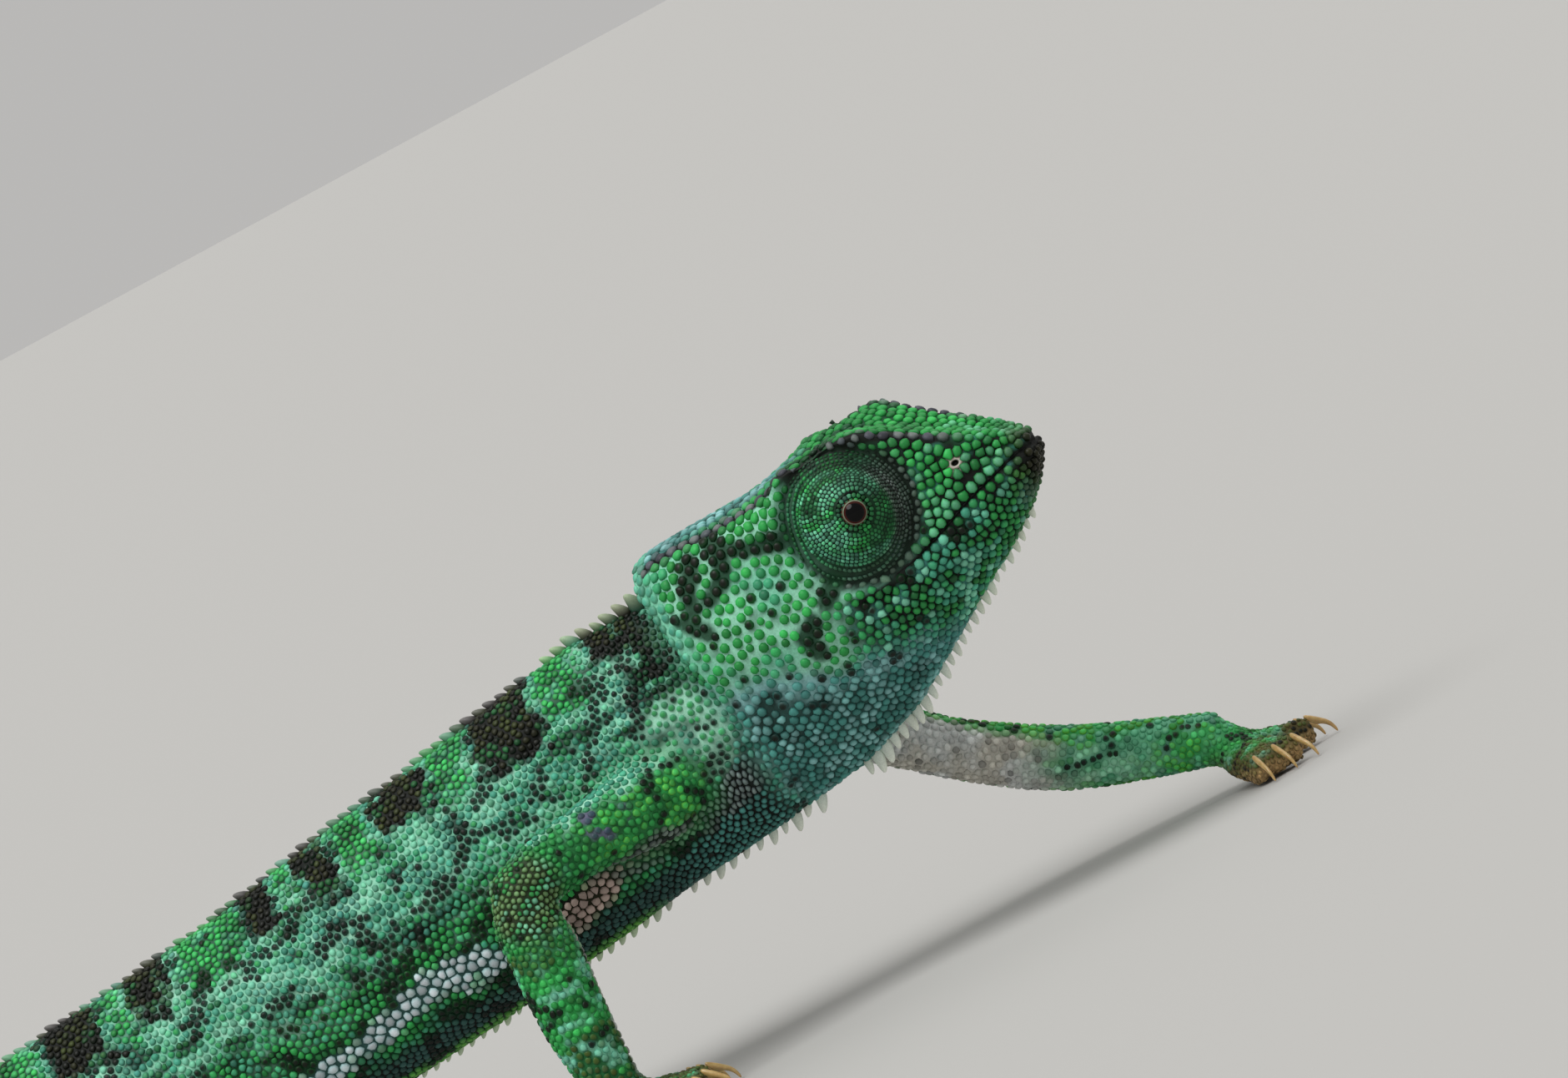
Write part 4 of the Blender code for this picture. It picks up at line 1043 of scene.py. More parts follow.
def colour_head(tones, place):
    """Green beads in mint skin on the cheek, dark bars from the eye, teal below, a brown snout."""
    at, fine, broad, streak = place["head"], place["fine"], place["broad"], place["streak"]
    h, up = at[:, 0], at[:, 2]
    profile = at[:, [0, 2]]
    here = place["share"]["head"] + place["share"]["throat"]
    side = ramp(abs(at[:, 1]), 1.8, 3.6)
    paint(tones, here, skin="mint", rim="leaf", top="leaf")
    paint(tones, here * ramp(h, 22, 16) * ramp(broad, -0.4, 0.2) * 0.6, skin="pale")
    paint(tones, here * ramp(h, 20, 14) * ramp(streak, 0.0, 0.4) * 0.7, rim="leaf", top="bright")
    paint(tones, here * ramp(broad, -0.1, -0.45) * 0.6, rim="sea", top="sea")
    front = here * ramp(h, 24, 28)
    paint(tones, front, skin="black", rim="leaf", top="leaf")
    paint(tones, front * ramp(fine, -0.1, 0.3) * 0.9, skin="deep", rim="leaf", top="bright")
    lip = front * ramp(distance_to_line(profile, MOUTH), 3.0, 1.6)
    paint(tones, lip * ramp(fine, -0.3, 0.0) * 0.7, rim="leaf", top="mint")
    flecks = front * ramp(fine, 0.35, 0.6) * 0.5 * ramp(up, 42.5, 41)
    paint(tones, flecks, skin="sea", rim="leaf", top="sea")
    paint(tones, front * ramp(broad, -0.15, -0.45) * 0.6, skin="black", rim="deep", top="moss")
    streaks = front * ramp(streak, 0.05, 0.35) * ramp(up, 43.5, 42)
    paint(tones, streaks * 0.6, skin="sea", rim="leaf", top="mint")
    jaw = here * below_mouth(at) * ramp(h, 16, 20)
    paint(tones, jaw, skin="black", rim="moss", top="leaf")
    paint(tones, jaw * ramp(fine + 0.3 * broad, -0.15, 0.2) * 0.9, skin="deep", rim="sea", top="sea")
    paint(tones, jaw * ramp(fine, 0.15, 0.45) * 0.9, skin="teal", rim="mint", top="mint")
    paint(tones, jaw * ramp(fine, -0.25, -0.55) * 0.8, skin="black", rim="deep", top="moss")
    low = here * ramp(up + 0.25 * h + 1.6 * broad + 1.2 * fine, 34.4, 31.6)
    paint(tones, low, skin="sky", rim="teal", top="teal")
    paint(tones, low * ramp(fine, 0.0, 0.35) * 0.8, rim="sky", top="sky")
    throat = here * ramp(up + 0.25 * h + 1.6 * broad + 1.6 * fine, 31.8, 29.6)
    paint(tones, throat, skin="slate", rim="teal", top="teal")
    paint(tones, throat * ramp(fine, -0.1, 0.25), rim="teal", top="sky")
    paint(tones, throat * ramp(fine, 0.3, 0.6) * 0.6, rim="sky", top="sky")
    paint(tones, throat * ramp(broad, -0.15, -0.45) * 0.4, skin="black", rim="slate", top="slate")
    crown = here * ramp(up, 44.6, 45.4) * ramp(h, 16, 20)
    paint(tones, crown, skin="deep", rim="leaf", top="leaf")
    paint(tones, crown * ramp(fine, -0.1, -0.4), skin="black", rim="deep", top="deep")
    casque = here * (1 - side) * ramp(up, 38, 41) * ramp(h, 20, 16)
    paint(tones, casque, skin="slate", rim="slate", top="teal")
    paint(tones, casque * ramp(fine, -0.1, 0.3), skin="teal", rim="teal", top="sky")
    rear = here * ramp(h + 0.33 * np.maximum(0, up - 38), 4.2, 3.0) * ramp(up, 33, 36)
    paint(tones, rear, skin="mint", rim="mint", top="sea")
    brow = here * ramp(distance_to_line(as_left(at), BROW), 0.95, 0.55) * ramp(h, 35, 32)
    paint(tones, brow, skin="black", rim="brow", top="brow")
    paint(tones, brow * ramp(fine, 0.0, 0.2), top="grey")
    tip = h - 0.18 * (up - 38) + 0.4 * below_mouth(at)
    paint(tones, here * ramp(tip + fine, 35.4, 38.0) * 0.6, rim="olive", top="olive")
    paint(tones, here * ramp(tip + 0.5 * fine, 37.2, 38.6), skin="black", rim="brown", top="umber")
    from_turret = np.linalg.norm(profile - TURRET, axis=1)
    under = below_eye(at)
    outer, inner = TURRET_RADIUS + 0.7 + 0.4 * under, TURRET_RADIUS + 0.2 + 0.3 * under
    # The black line round the turret is painted shade in the groove it turns in. The grey below the eye is
    # the folds' own colour.
    groove = side * ramp(from_turret, outer, inner)
    paint(tones, here * groove, skin="black", rim="black", top="deep")
    paint(tones, here * groove * under * 0.8, skin="black", rim="brow", top="grey")
    nostril = np.linalg.norm(profile - (NOSTRIL[0], NOSTRIL[2]), axis=1)
    paint(tones, here * side * ramp(nostril, 0.95, 0.6), skin="flesh", rim="flesh", top="flesh")
    # The black middle of the nostril is painted shade in its hole.
    paint(tones, here * side * ramp(nostril, 0.45, 0.3), skin="black", rim="black", top="black")
    # The skin along the closed mouth is darkened as painted shadow of the groove between the lips.
    mouth_shadow = here * ramp(distance_to_line(profile, MOUTH), 0.34, 0.16)
    paint(tones, mouth_shadow * ramp(abs(at[:, 1]), 0.5, 1.5), skin="black")
    bars = dashes(profile + np.stack([fine, broad], axis=1) * 0.35, HEAD_BARS, 0.9)
    paint(tones, here * side * bars * 0.9, skin="deep", rim="deep", top="moss")
    from_spot = np.min([np.linalg.norm(profile - spot, axis=1) for spot in HEAD_SPOTS], axis=0)
    spots = ramp(from_spot, SPOT_RADIUS + 0.2, SPOT_RADIUS - 0.2)
    few = ramp(place["spots"], 0.52, 0.6) * ramp(h, 22, 12) + ramp(place["spots"], 0.42, 0.55) * throat
    return here * side * np.clip(bars + spots + few, 0, 1) * (1 - groove)


# %% Colours of the eye turrets
# The turret's concentric folds are too fine to model, so their shade is painted as dark rings this far
# apart.
FOLD_SHADE_EVERY = 0.95


def colour_turrets(tones, place):
    """Mottled green, darker ahead of the pupil, in fine dark rings of painted fold shade, with a grey rim
    below.
    """
    at, fine, broad, streak = place["head"], place["fine"], place["broad"], place["streak"]
    turret = place["share"]["turret"]
    paint(tones, turret, skin="deep", rim="deep", top="moss")
    light = ramp(fine + 0.4 * broad - 0.10 * (at[:, 0] - TURRET[0]), -0.35, 0.05)
    paint(tones, turret * light, skin="black", rim="leaf", top="leaf")
    paint(tones, turret * light * ramp(streak, 0.0, 0.4) * 0.7, rim="sea", top="mint")
    paint(tones, turret * (1 - light) * ramp(fine, -0.2, -0.5), rim="black", top="deep")
    paint(tones, turret * ramp(broad - 0.5 * fine, 0.1, 0.4) * 0.45, rim="teal", top="mint")
    ahead = at[:, 0] + 0.4 * (at[:, 2] - TURRET[1]) - TURRET[0]
    out = np.linalg.norm(at[:, [0, 2]] - TURRET, axis=1)
    front = turret * ramp(ahead + 0.8 * fine, 1.4, 2.8)
    paint(tones, front * 0.45, skin="black", rim="deep", top="moss")
    front_rim = turret * ramp(ahead, 1.0, 2.0) * ramp(out, 4.4, 4.8)
    # The black ring at the turret's edge is painted shade where the turret meets the groove round it.
    edge = turret * ramp(out, TURRET_RADIUS - 0.5, TURRET_RADIUS - 0.2)
    for dark_ring in (front_rim, edge):
        paint(tones, dark_ring, skin="black", rim="black", top="black")
    grey_ring = turret * ramp(out, TURRET_RADIUS - 1.5, TURRET_RADIUS - 1.0) * below_eye(at)
    paint(tones, grey_ring * 0.9, skin="black", rim="brow", top="grey")
    # The fine dark rings are painted shade, standing in for concentric folds of the turret's skin that the
    # mesh can't hold.
    fold_shade_waves = np.cos(2 * math.pi * (out + 0.15 * fine) / FOLD_SHADE_EVERY)
    rings = turret * ramp(fold_shade_waves, 0.4, 0.85) * ramp(out, 2.6, 4.6)
    paint(tones, rings * 0.75, skin="black", rim="black", top="deep")


# %% Colours of the limbs
ELBOW_BAND_HEIGHT = 18.3
BRUISE = (1.8, -11.5, 26.3)


def colour_limbs(tones, place):
    """Mottled green limbs with pale inner sides and brown toes. Says where dark spots may be."""
    at, fine, broad, streak = place["trunk"], place["fine"], place["broad"], place["streak"]
    share_of, facing = place["share"], place["facing"]
    limb = share_of["limb"]
    paint(tones, limb, skin="leaf", rim="leaf", top="leaf")
    paint(tones, limb * ramp(broad, 0.05, 0.35), skin="moss", rim="moss", top="olive")
    paint(tones, limb * ramp(fine, 0.1, 0.4), skin="mint", rim="sea", top="mint")
    shadow = limb * ramp(broad, -0.2, -0.45) * ramp(fine, 0.1, -0.2)
    paint(tones, shadow * 0.9, skin="deep", rim="deep", top="umber")
    reaching = share_of["arm_left"] * ramp(at[:, 0], 34, 38)
    paint(tones, reaching * 0.6, skin="mint", rim="sea", top="mint")
    paint(tones, limb * ramp(streak, 0.1, 0.4) * 0.7, skin="leaf", rim="bright", top="bright")
    arms = share_of["arm_right"] + share_of["arm_left"]
    paint(tones, arms * ramp(at[:, 2], 19, 22) * 0.8, skin="moss", rim="moss", top="leaf")
    front_arm = arms * ramp(at[:, 0], -2, 1) * ramp(fine, -0.1, 0.25)
    paint(tones, front_arm, skin="leaf", rim="lime", top="bright")
    paint(tones, arms * ramp(at[:, 2] + fine, 26.8, 28.4), skin="pale", rim="sea", top="sea")
    elbow = arms * ramp(np.linalg.norm(as_left(at) - ELBOW, axis=1), 4.6, 3.2)
    paint(tones, elbow * 0.9, skin="umber", rim="olive", top="sage")
    paint(tones, elbow * ramp(fine, 0.0, 0.3) * 0.9, rim="moss", top="leaf")
    paint(tones, elbow * ramp(streak, 0.1, 0.4) * 0.7, rim="moss", top="mint")
    off_band = abs(at[:, 2] - ELBOW_BAND_HEIGHT + 0.8 * fine)
    band = share_of["arm_right"] * ramp(off_band, 1.7, 0.9)
    paint(tones, band * ramp(at[:, 0], -11, -9) * 0.6, skin="moss", rim="olive", top="leaf")
    from_bruise = np.linalg.norm(at - BRUISE, axis=1)
    bruise = arms * ramp(from_bruise, 2.6, 2.0) * ramp(place["spots"], -0.05, 0.1)
    paint(tones, bruise * 0.9, skin="violet", rim="violet", top="navy")
    under = arms * dashes(at[:, [0, 2]] + fine[:, None] * 0.5, (GREY_FOLD,), 0.9)
    under *= ramp(abs(at[:, 1]), 10.8, 9.8)
    paint(tones, under * 0.9, skin="black", rim="brow", top="grey")
    left = share_of["arm_left"] + share_of["leg_left"]
    right = share_of["arm_right"] + share_of["leg_right"]
    inner = left * ramp(-facing[:, 1], -0.15, 0.25) + right * ramp(facing[:, 1], -0.1, 0.3)
    wrist_side = share_of["arm_left"] * ramp(-facing[:, 1], 0.2, 0.6) * ramp(facing[:, 2], 0.45, 0.15)
    wrist_side *= ramp(at[:, 0] + 2 * fine, 47, 41)
    paint(tones, wrist_side * ramp(fine, -0.2, 0.2) * 0.8, skin="pale", rim="mint", top="pale")
    inner *= ramp(at[:, 0] + 3 * broad, 39, 32) * ramp(facing[:, 2], 0.75, 0.45)
    paint(tones, inner, skin="flesh", rim="flesh", top="flesh")
    paint(tones, inner * ramp(broad, -0.2, 0.2) * 0.5, skin="white", rim="white", top="white")
    paint(tones, inner * ramp(fine, -0.3, -0.6) * 0.35, rim="umber", top="umber")
    foot = share_of["foot"]
    paint(tones, foot * ramp(at[:, 2] + 1.2 * fine, 4.4, 2.4), skin="toe", rim="toe", top="olive")
    paint(tones, foot * ramp(at[:, 2] + 0.5 * fine, 2.2, 1.0), skin="tan", rim="toe", top="tan")
    return limb * (1 - inner) * (1 - band)


# %% Colours of the tail
TAIL_BAND = 11.0
COIL_RADIUS = 9.0


def colour_tail(tones, place):
    """Green with dark bands. How far along the tail a place is goes on round the coil."""
    at, fine, broad = place["trunk"], place["fine"], place["broad"]
    tail = place["share"]["tail"]
    paint(tones, tail, skin="moss", rim="leaf", top="leaf")
    paint(tones, tail * ramp(place["streak"], 0.05, 0.45), skin="mint", rim="mint", top="sea")
    from_coil = at[:, [0, 2]] - (COIL_STATION, COIL_HEIGHT)
    turned = np.arctan2(-from_coil[:, 0], from_coil[:, 1])
    travelled = np.where(at[:, 0] > COIL_STATION, -at[:, 0], -COIL_STATION + COIL_RADIUS * turned)
    wave = np.cos(2 * math.pi * (travelled + 1.2 * broad) / TAIL_BAND)
    banded = tail * ramp(wave, 0.15, 0.5)
    paint(tones, banded, skin="black", rim="brown", top="umber")
    paint(tones, banded * ramp(fine, 0.15, 0.4), top="olive")
    paint(tones, tail * ramp(wave, -0.3, -0.8) * 0.6, skin="mint", rim="bright", top="bright")
    return tail


# %% One function for the colour of any place on the body
def colours_at(points, of_region, facing):
    """Linear colours of skin, scale rim and scale top, and how much the place is a dark spot."""
    place = {
        "trunk": in_trunk(points), "head": in_head(points), "share": of_region, "facing": facing,
        "fine": mottle(points, 1.5, 11), "broad": mottle(points, 4.2, 12),
        "streak": mottle(points * (0.32, 1, 1), 1.15, 13),
        "spots": mottle(points * (0.7, 1, 1), 1.5, 21, 1),
    }
    # Where the skin layer is black or deep, the dark between the scales is partly the skin's own colour and
    # partly painted shade in the narrow gaps between them.
    tones = {layer: np.tile(COLOURS["leaf"], (len(points), 1)) for layer in ("skin", "rim", "top")}
    dark = colour_trunk(tones, place) + colour_head(tones, place)
    colour_turrets(tones, place)
    spotted_skin = colour_limbs(tones, place) + colour_tail(tones, place)
    shadows = ramp(place["broad"], -0.3, -0.5) * ramp(place["fine"], 0.1, -0.2)
    dark = dark + spotted_skin * np.maximum(ramp(place["spots"], 0.36, 0.48), shadows) * 0.95
    return tones["skin"], tones["rim"], tones["top"], np.clip(dark, 0, 1)


DARK_SKIN_SHARE = 0.4
skin_tone, _, _, skin_dark = colours_at(skin, share, normals)
skin_tone = skin_tone + (DARK_SKIN_SHARE * skin_dark)[:, None] * (COLOURS["black"] - skin_tone)
_, rim_tone, top_tone, spotted = colours_at(roots, of_region, normal)
print(f"coloured, {time.time() - started:.1f} s")

# %% Give each scale its own shade
# A scale is either in a dark spot or not, never half in it, and no two are quite alike.
UNLIKE, TURRET_UNLIKE = 0.2, 0.32
# The darker rim is painted shade at the foot of each scale, where it meets the skin between.
RIM_PAINTED_SHADE = 0.85  # rims are darker than tops, but not on the cheek
is_dark = spotted > dice.uniform(0.3, 0.7, len(roots))
shade = np.clip(dice.normal(1, UNLIKE, (len(roots), 1)), 0.55, 1.5)
shade[len(rows):fixed] = np.clip(dice.normal(1, TURRET_UNLIKE, (fixed - len(rows), 1)), 0.4, 1.7)
leaning = dice.uniform(0, 0.25, (len(roots), 1))
top_tone = (top_tone + leaning * (rim_tone - top_tone)) * shade
cheek = of_region["head"] * on_cheek(in_head(roots))
rim_tone = rim_tone * shade * (RIM_PAINTED_SHADE + 0.15 * cheek)[:, None]
brown_share = dice.uniform(0.1, 0.9, (len(roots), 1))
spot_tone = COLOURS["black"] + brown_share * (COLOURS["brown"] - COLOURS["black"])
top_tone = np.where(is_dark[:, None], spot_tone, top_tone)
rim_tone = np.where(is_dark[:, None], 0.5 * COLOURS["black"] + 0.5 * rim_tone, rim_tone)
print(f"{is_dark.sum()} dark scales of {len(roots)}")

# %% [markdown]
# ## The skin of a museum model
# The bare skin and the scales are one material in life, keratin over living skin, so the two
# finishes share a recipe: the colour comes from the markings, a fine grain breaks it up, and the
# surface is satin, a little smoother on the scales, which are worn, than in the folds between.

# %% Materials of skin and scales
WORN, ROUGHENED = 0.07, 0.09  # how far the grain takes the roughness down and up


def add_node(tree, kind, settings=None, **links):
    """Adds a node with its settings, and sets or links its inputs by name."""
    node = tree.nodes.new(kind)
    for name, value in (settings or {}).items():
        setattr(node, name, value)
    for name, value in links.items():
        socket = node.inputs[name.replace("_", " ")]
        if isinstance(value, bpy.types.NodeSocket):
            tree.links.new(value, socket)
        else:
            socket.default_value = value
    return node


def empty_material(name):
    material = bpy.data.materials.new(name)
    material.use_nodes = True
    material.node_tree.nodes.clear()
    return material, material.node_tree


def keratin(name, roughness, grain_mm, grain_depth_mm, colour_grain):
    """Living keratin in the colours of the tint attribute, with a fine grain of its own."""
    material, tree = empty_material(name)
    place = add_node(tree, "ShaderNodeTexCoord").outputs["Object"]
    tint = add_node(tree, "ShaderNodeAttribute", {"attribute_name": "tint"}).outputs["Color"]
    grain = add_node(
        tree, "ShaderNodeTexNoise", Vector=place, Scale=1 / (grain_mm * MM), Detail=3.0, Roughness=0.6,
    ).outputs["Fac"]
    spread = add_node(
        tree, "ShaderNodeMapRange", Value=grain, From_Min=0.3, From_Max=0.7,
        To_Min=1 - colour_grain, To_Max=1 + colour_grain,
    )
    graded = add_node(tree, "ShaderNodeVectorMath", {"operation": "SCALE"}, Scale=spread.outputs["Result"])
    tree.links.new(tint, graded.inputs[0])
    worn = add_node(
        tree, "ShaderNodeMapRange", Value=grain, From_Min=0.3, From_Max=0.7,
        To_Min=roughness - WORN, To_Max=roughness + ROUGHENED,
    )
    bump = add_node(tree, "ShaderNodeBump", Height=grain, Strength=0.5, Distance=grain_depth_mm * MM)
    shader = add_node(
        tree, "ShaderNodeBsdfPrincipled", Base_Color=graded.outputs["Vector"],
        Roughness=worn.outputs["Result"], Normal=bump.outputs["Normal"], IOR=1.5, Specular_IOR_Level=0.2,
    )
    add_node(tree, "ShaderNodeOutputMaterial", Surface=shader.outputs["BSDF"])
    return material


# Skin between the scales is finely creased, every 0.2 mm, and nearly matt.
skin_finish = keratin("creased_living_skin", 0.6, 0.2, 0.05, 0.16)
# A scale is hard keratin, worn to a satin gloss on its top.
scale_finish = keratin("satin_keratin_scale", 0.44, 0.14, 0.02, 0.10)

# %% [markdown]
# ## A map for baking
# A finish that lives in attributes has to be baked into a picture when the model is exported, and
# for that each surface needs a flat map. The skin is unfolded along its own creases. Every scale
# is one small patch on it, at the place where the scale is rooted, so that a scale takes its
# colour from its own spot.

# %% The skin's object, its tint and its map
DARKEST = 0.002  # nothing real is blacker
skin_mesh.vertices.foreach_set("co", (skin * MM).ravel())
skin_mesh.shade_smooth()
skin_object = in_scene("skin", skin_mesh)
skin_mesh.materials.append(skin_finish)


def set_attribute(mesh, name, kind, field, values):
    """Stores one value for each point of the mesh."""
    attribute = mesh.attributes.new(name, kind, "POINT")
    attribute.data.foreach_set(field, values.astype(np.float32).ravel())


def set_tint(mesh, colours, name="tint"):
    """Stores linear colours, one for each point of the mesh."""
    with_alpha = np.concatenate([np.clip(colours, DARKEST, 1), np.ones((len(colours), 1))], axis=1)
    set_attribute(mesh, name, "FLOAT_COLOR", "color", with_alpha)


set_tint(skin_mesh, skin_tone)
bpy.ops.object.select_all(action="DESELECT")
bpy.context.view_layer.objects.active = skin_object
skin_object.select_set(True)
skin_mesh.uv_layers.new(name="OFBake")
bpy.ops.object.mode_set(mode="EDIT")
bpy.ops.mesh.select_all(action="SELECT")
bpy.ops.uv.smart_project(angle_limit=math.radians(66), island_margin=0.001)
bpy.ops.object.mode_set(mode="OBJECT")
flat = np.empty(len(skin_mesh.loops) * 2)
skin_mesh.uv_layers["OFBake"].data.foreach_get("uv", flat)
flat = flat.reshape(-1, 2)
face_flat = np.array([flat[p.loop_start:p.loop_start + 4].mean(axis=0) for p in four_sided()])
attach(skin_object, "root")
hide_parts(*FLESH)
print(f"skin unfolded, {time.time() - started:.1f} s")

# %% Make the coat, piece by piece
PATCH = 0.003  # the side of a scale's patch on the flat map
COAT_PIECES = {
    "scales_head": ("head",), "scales_turrets": ("turret",), "scales_throat_and_neck": ("throat", "neck"),
    "scales_trunk_front": ("trunk",), "scales_trunk_middle": ("trunk",), "scales_trunk_rear": ("trunk",),
    "scales_tail": ("tail",), "scales_arms": ("arm_right", "arm_left"),
    "scales_legs": ("leg_right", "leg_left"), "scales_feet": ("foot",),
}
TRUNK_CUTS = (-22.0, -54.0)
RING_SHARES, TOP_SHARE = (0.0, 0.4, 0.9), 1.0  # how much of the top's colour each ring has


def skin_piece(name, mesh):
    """Puts a piece of the hide in the scene, in the scales' finish if it has none of its own."""
    if not mesh.materials:
        mesh.materials.append(scale_finish)
    obj = in_scene(name, mesh)
    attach(obj, "root")


main_region = np.argmax(np.stack([of_region[name] for name in region_names]), axis=0)
main_region[len(rows):fixed] = region_names.index("turret")
third = np.sum(in_trunk(roots)[:, :1] < TRUNK_CUTS, axis=1)
steps = np.append(np.repeat(RING_SHARES, SPOKES), TOP_SHARE)[None, :, None]
for piece, names in COAT_PIECES.items():
    here = among(main_region, names)
    if names == ("trunk",):
        here &= third == ("front", "middle", "rear").index(piece.split("_")[-1])
    pick = np.flatnonzero(here)
    points, patch = scale_arrays(pick)
    points[:, :, 2] = np.maximum(points[:, :, 2], FLOOR_GAP)
    mesh, corners = many_alike(
        piece, points.reshape(-1, 3), dome_faces(len(DOME), SPOKES), len(pick), points.shape[1],
    )
    graded = rim_tone[pick, None, :] * (1 - steps) + top_tone[pick, None, :] * steps
    set_tint(mesh, graded.reshape(-1, 3))
    in_patch = np.tile(patch, (len(pick), 1)) * PATCH / 2
    root_flat = np.repeat(face_flat[faces[pick]], points.shape[1], axis=0)
    mesh.uv_layers.new(name="OFBake").data.foreach_set("uv", (root_flat + in_patch)[corners].ravel())
    skin_piece(piece, mesh)
    print(piece, len(pick), "scales,", sum(len(p.vertices) - 2 for p in mesh.polygons), "triangles")
print(f"coat made, {time.time() - started:.1f} s")

# %% [markdown]
# ## Spines
# Cone-shaped spines stand in one row down the back, one under the chin and one along the belly.
# They repeat along a path, so Geometry Nodes place them: each point of the path carries its size,
# its two directions and its colours, and the tree sets a spine there, no two quite the same size.

# %% One spine
SPINE_RINGS = (  # how high up, and how wide
    (-0.3, 0.92), (0.0, 1.0), (0.3, 0.95), (0.58, 0.80), (0.8, 0.60), (0.94, 0.36),
)
SPINE_SPOKES, SPINE_LEAN = 8, 0.5


def spine_mesh():
    """A blunt thorn that leans back, 1 high and 1 long at the foot, with its rise as an attribute."""
    points = []
    for up, wide in SPINE_RINGS:
        for k in range(SPINE_SPOKES):
            turn = 2 * math.pi * k / SPINE_SPOKES
            back = SPINE_LEAN * max(up, 0) ** 1.5
            points.append((wide * math.cos(turn) / 2 - back, wide * math.sin(turn) / 2, up))
    points.append((-SPINE_LEAN, 0, 1))
    mesh = bpy.data.meshes.new("one_spine")
    mesh.from_pydata(points, [], dome_faces(len(SPINE_RINGS), SPINE_SPOKES))
    mesh.shade_smooth()
    set_attribute(mesh, "rise", "FLOAT", "value", np.array([max(point[2], 0) for point in points]))
    return mesh


# %% The tree that sets spines along a path
def spine_tree():
    tree = bpy.data.node_groups.new("spines_along_path", "GeometryNodeTree")
    for name, kind in (
        ("Path", "NodeSocketGeometry"), ("Spine", "NodeSocketObject"), ("Unevenness", "NodeSocketFloat"),
        ("Seed", "NodeSocketInt"), ("Finish", "NodeSocketMaterial"),
    ):
        tree.interface.new_socket(name, in_out="INPUT", socket_type=kind)
    tree.interface.new_socket("Spines", in_out="OUTPUT", socket_type="NodeSocketGeometry")
    given = add_node(tree, "NodeGroupInput").outputs
    read = {}
    for name in ("outwards", "forwards", "size"):
        node = add_node(tree, "GeometryNodeInputNamedAttribute", {"data_type": "FLOAT_VECTOR"}, Name=name)
        read[name] = node.outputs["Attribute"]
    stand = add_node(tree, "FunctionNodeAxesToRotation", {"primary_axis": "Z", "secondary_axis": "X"})
    tree.links.new(read["outwards"], stand.inputs["Primary Axis"])
    tree.links.new(read["forwards"], stand.inputs["Secondary Axis"])
    uneven = add_node(tree, "FunctionNodeRandomValue", {"data_type": "FLOAT"}, Seed=given["Seed"])
    for operation, limit in (("SUBTRACT", uneven.inputs[2]), ("ADD", uneven.inputs[3])):
        node = add_node(tree, "ShaderNodeMath", {"operation": operation})
        node.inputs[0].default_value = 1
        tree.links.new(given["Unevenness"], node.inputs[1])
        tree.links.new(node.outputs[0], limit)
    sized = add_node(tree, "ShaderNodeVectorMath", {"operation": "SCALE"})
    tree.links.new(read["size"], sized.inputs[0])
    tree.links.new(uneven.outputs[1], sized.inputs["Scale"])
    shape = add_node(tree, "GeometryNodeObjectInfo", Object=given["Spine"])
    placed = add_node(
        tree, "GeometryNodeInstanceOnPoints", Points=given["Path"], Instance=shape.outputs["Geometry"],
        Rotation=stand.outputs["Rotation"], Scale=sized.outputs["Vector"],
    )
    real = add_node(tree, "GeometryNodeRealizeInstances", Geometry=placed.outputs["Instances"])
    finished = add_node(
        tree, "GeometryNodeSetMaterial", Geometry=real.outputs["Geometry"], Material=given["Finish"],
    )
    add_node(tree, "NodeGroupOutput", Spines=finished.outputs["Geometry"])
    return tree


# %% Paths along the middle of the back, the throat and the belly
PATH_STEP, PATH_REACH = 0.5, 0.6
EDGE_POINTS = 4  # the path runs through the mean of this many outermost points


def evened(line, times):
    """The line with its zigzags smoothed out and its ends in place."""
    for _ in range(times):
        line[1:-1] = 0.25 * line[:-2] + 0.5 * line[1:-1] + 0.25 * line[2:]
    return line


def edge_path(points, names, start, end, lowest):
    """The skin's highest or lowest line from one station of these coordinates back to another."""
    allowed = among(regions, names)
    line = []
    for station in np.arange(start, end, -PATH_STEP):
        column = np.flatnonzero(allowed & (abs(points[:, 0] - station) < PATH_REACH))
        if len(column):
            edge = column[np.argsort(points[column, 2] * (1 if lowest else -1))[:EDGE_POINTS]]
            line.append(skin[edge].mean(axis=0))
    return evened(np.array(line), 6)


def spine_row(line, spacing, sizes):
    """Places, directions and sizes of a row, with sizes given as length, width, height at both ends."""
    travelled = lengths_along(line)
    goals, at = [], spacing / 2
    while at < travelled[-1] - spacing / 2:
        goals.append(at)
        at += spacing
    goals = np.array(goals)
    places = at_lengths(line, travelled, goals)
    ahead = at_lengths(line, travelled, goals - 0.6)
    places, on_faces = onto_skin(places)
    outwards = unit(at_faces(normals, on_faces))
    share_along = (goals / travelled[-1])[:, None]
    size = np.array(sizes[0]) * (1 - share_along) + np.array(sizes[1]) * share_along
    return places, outwards, unit(ahead - places + 1e-6), size, on_faces


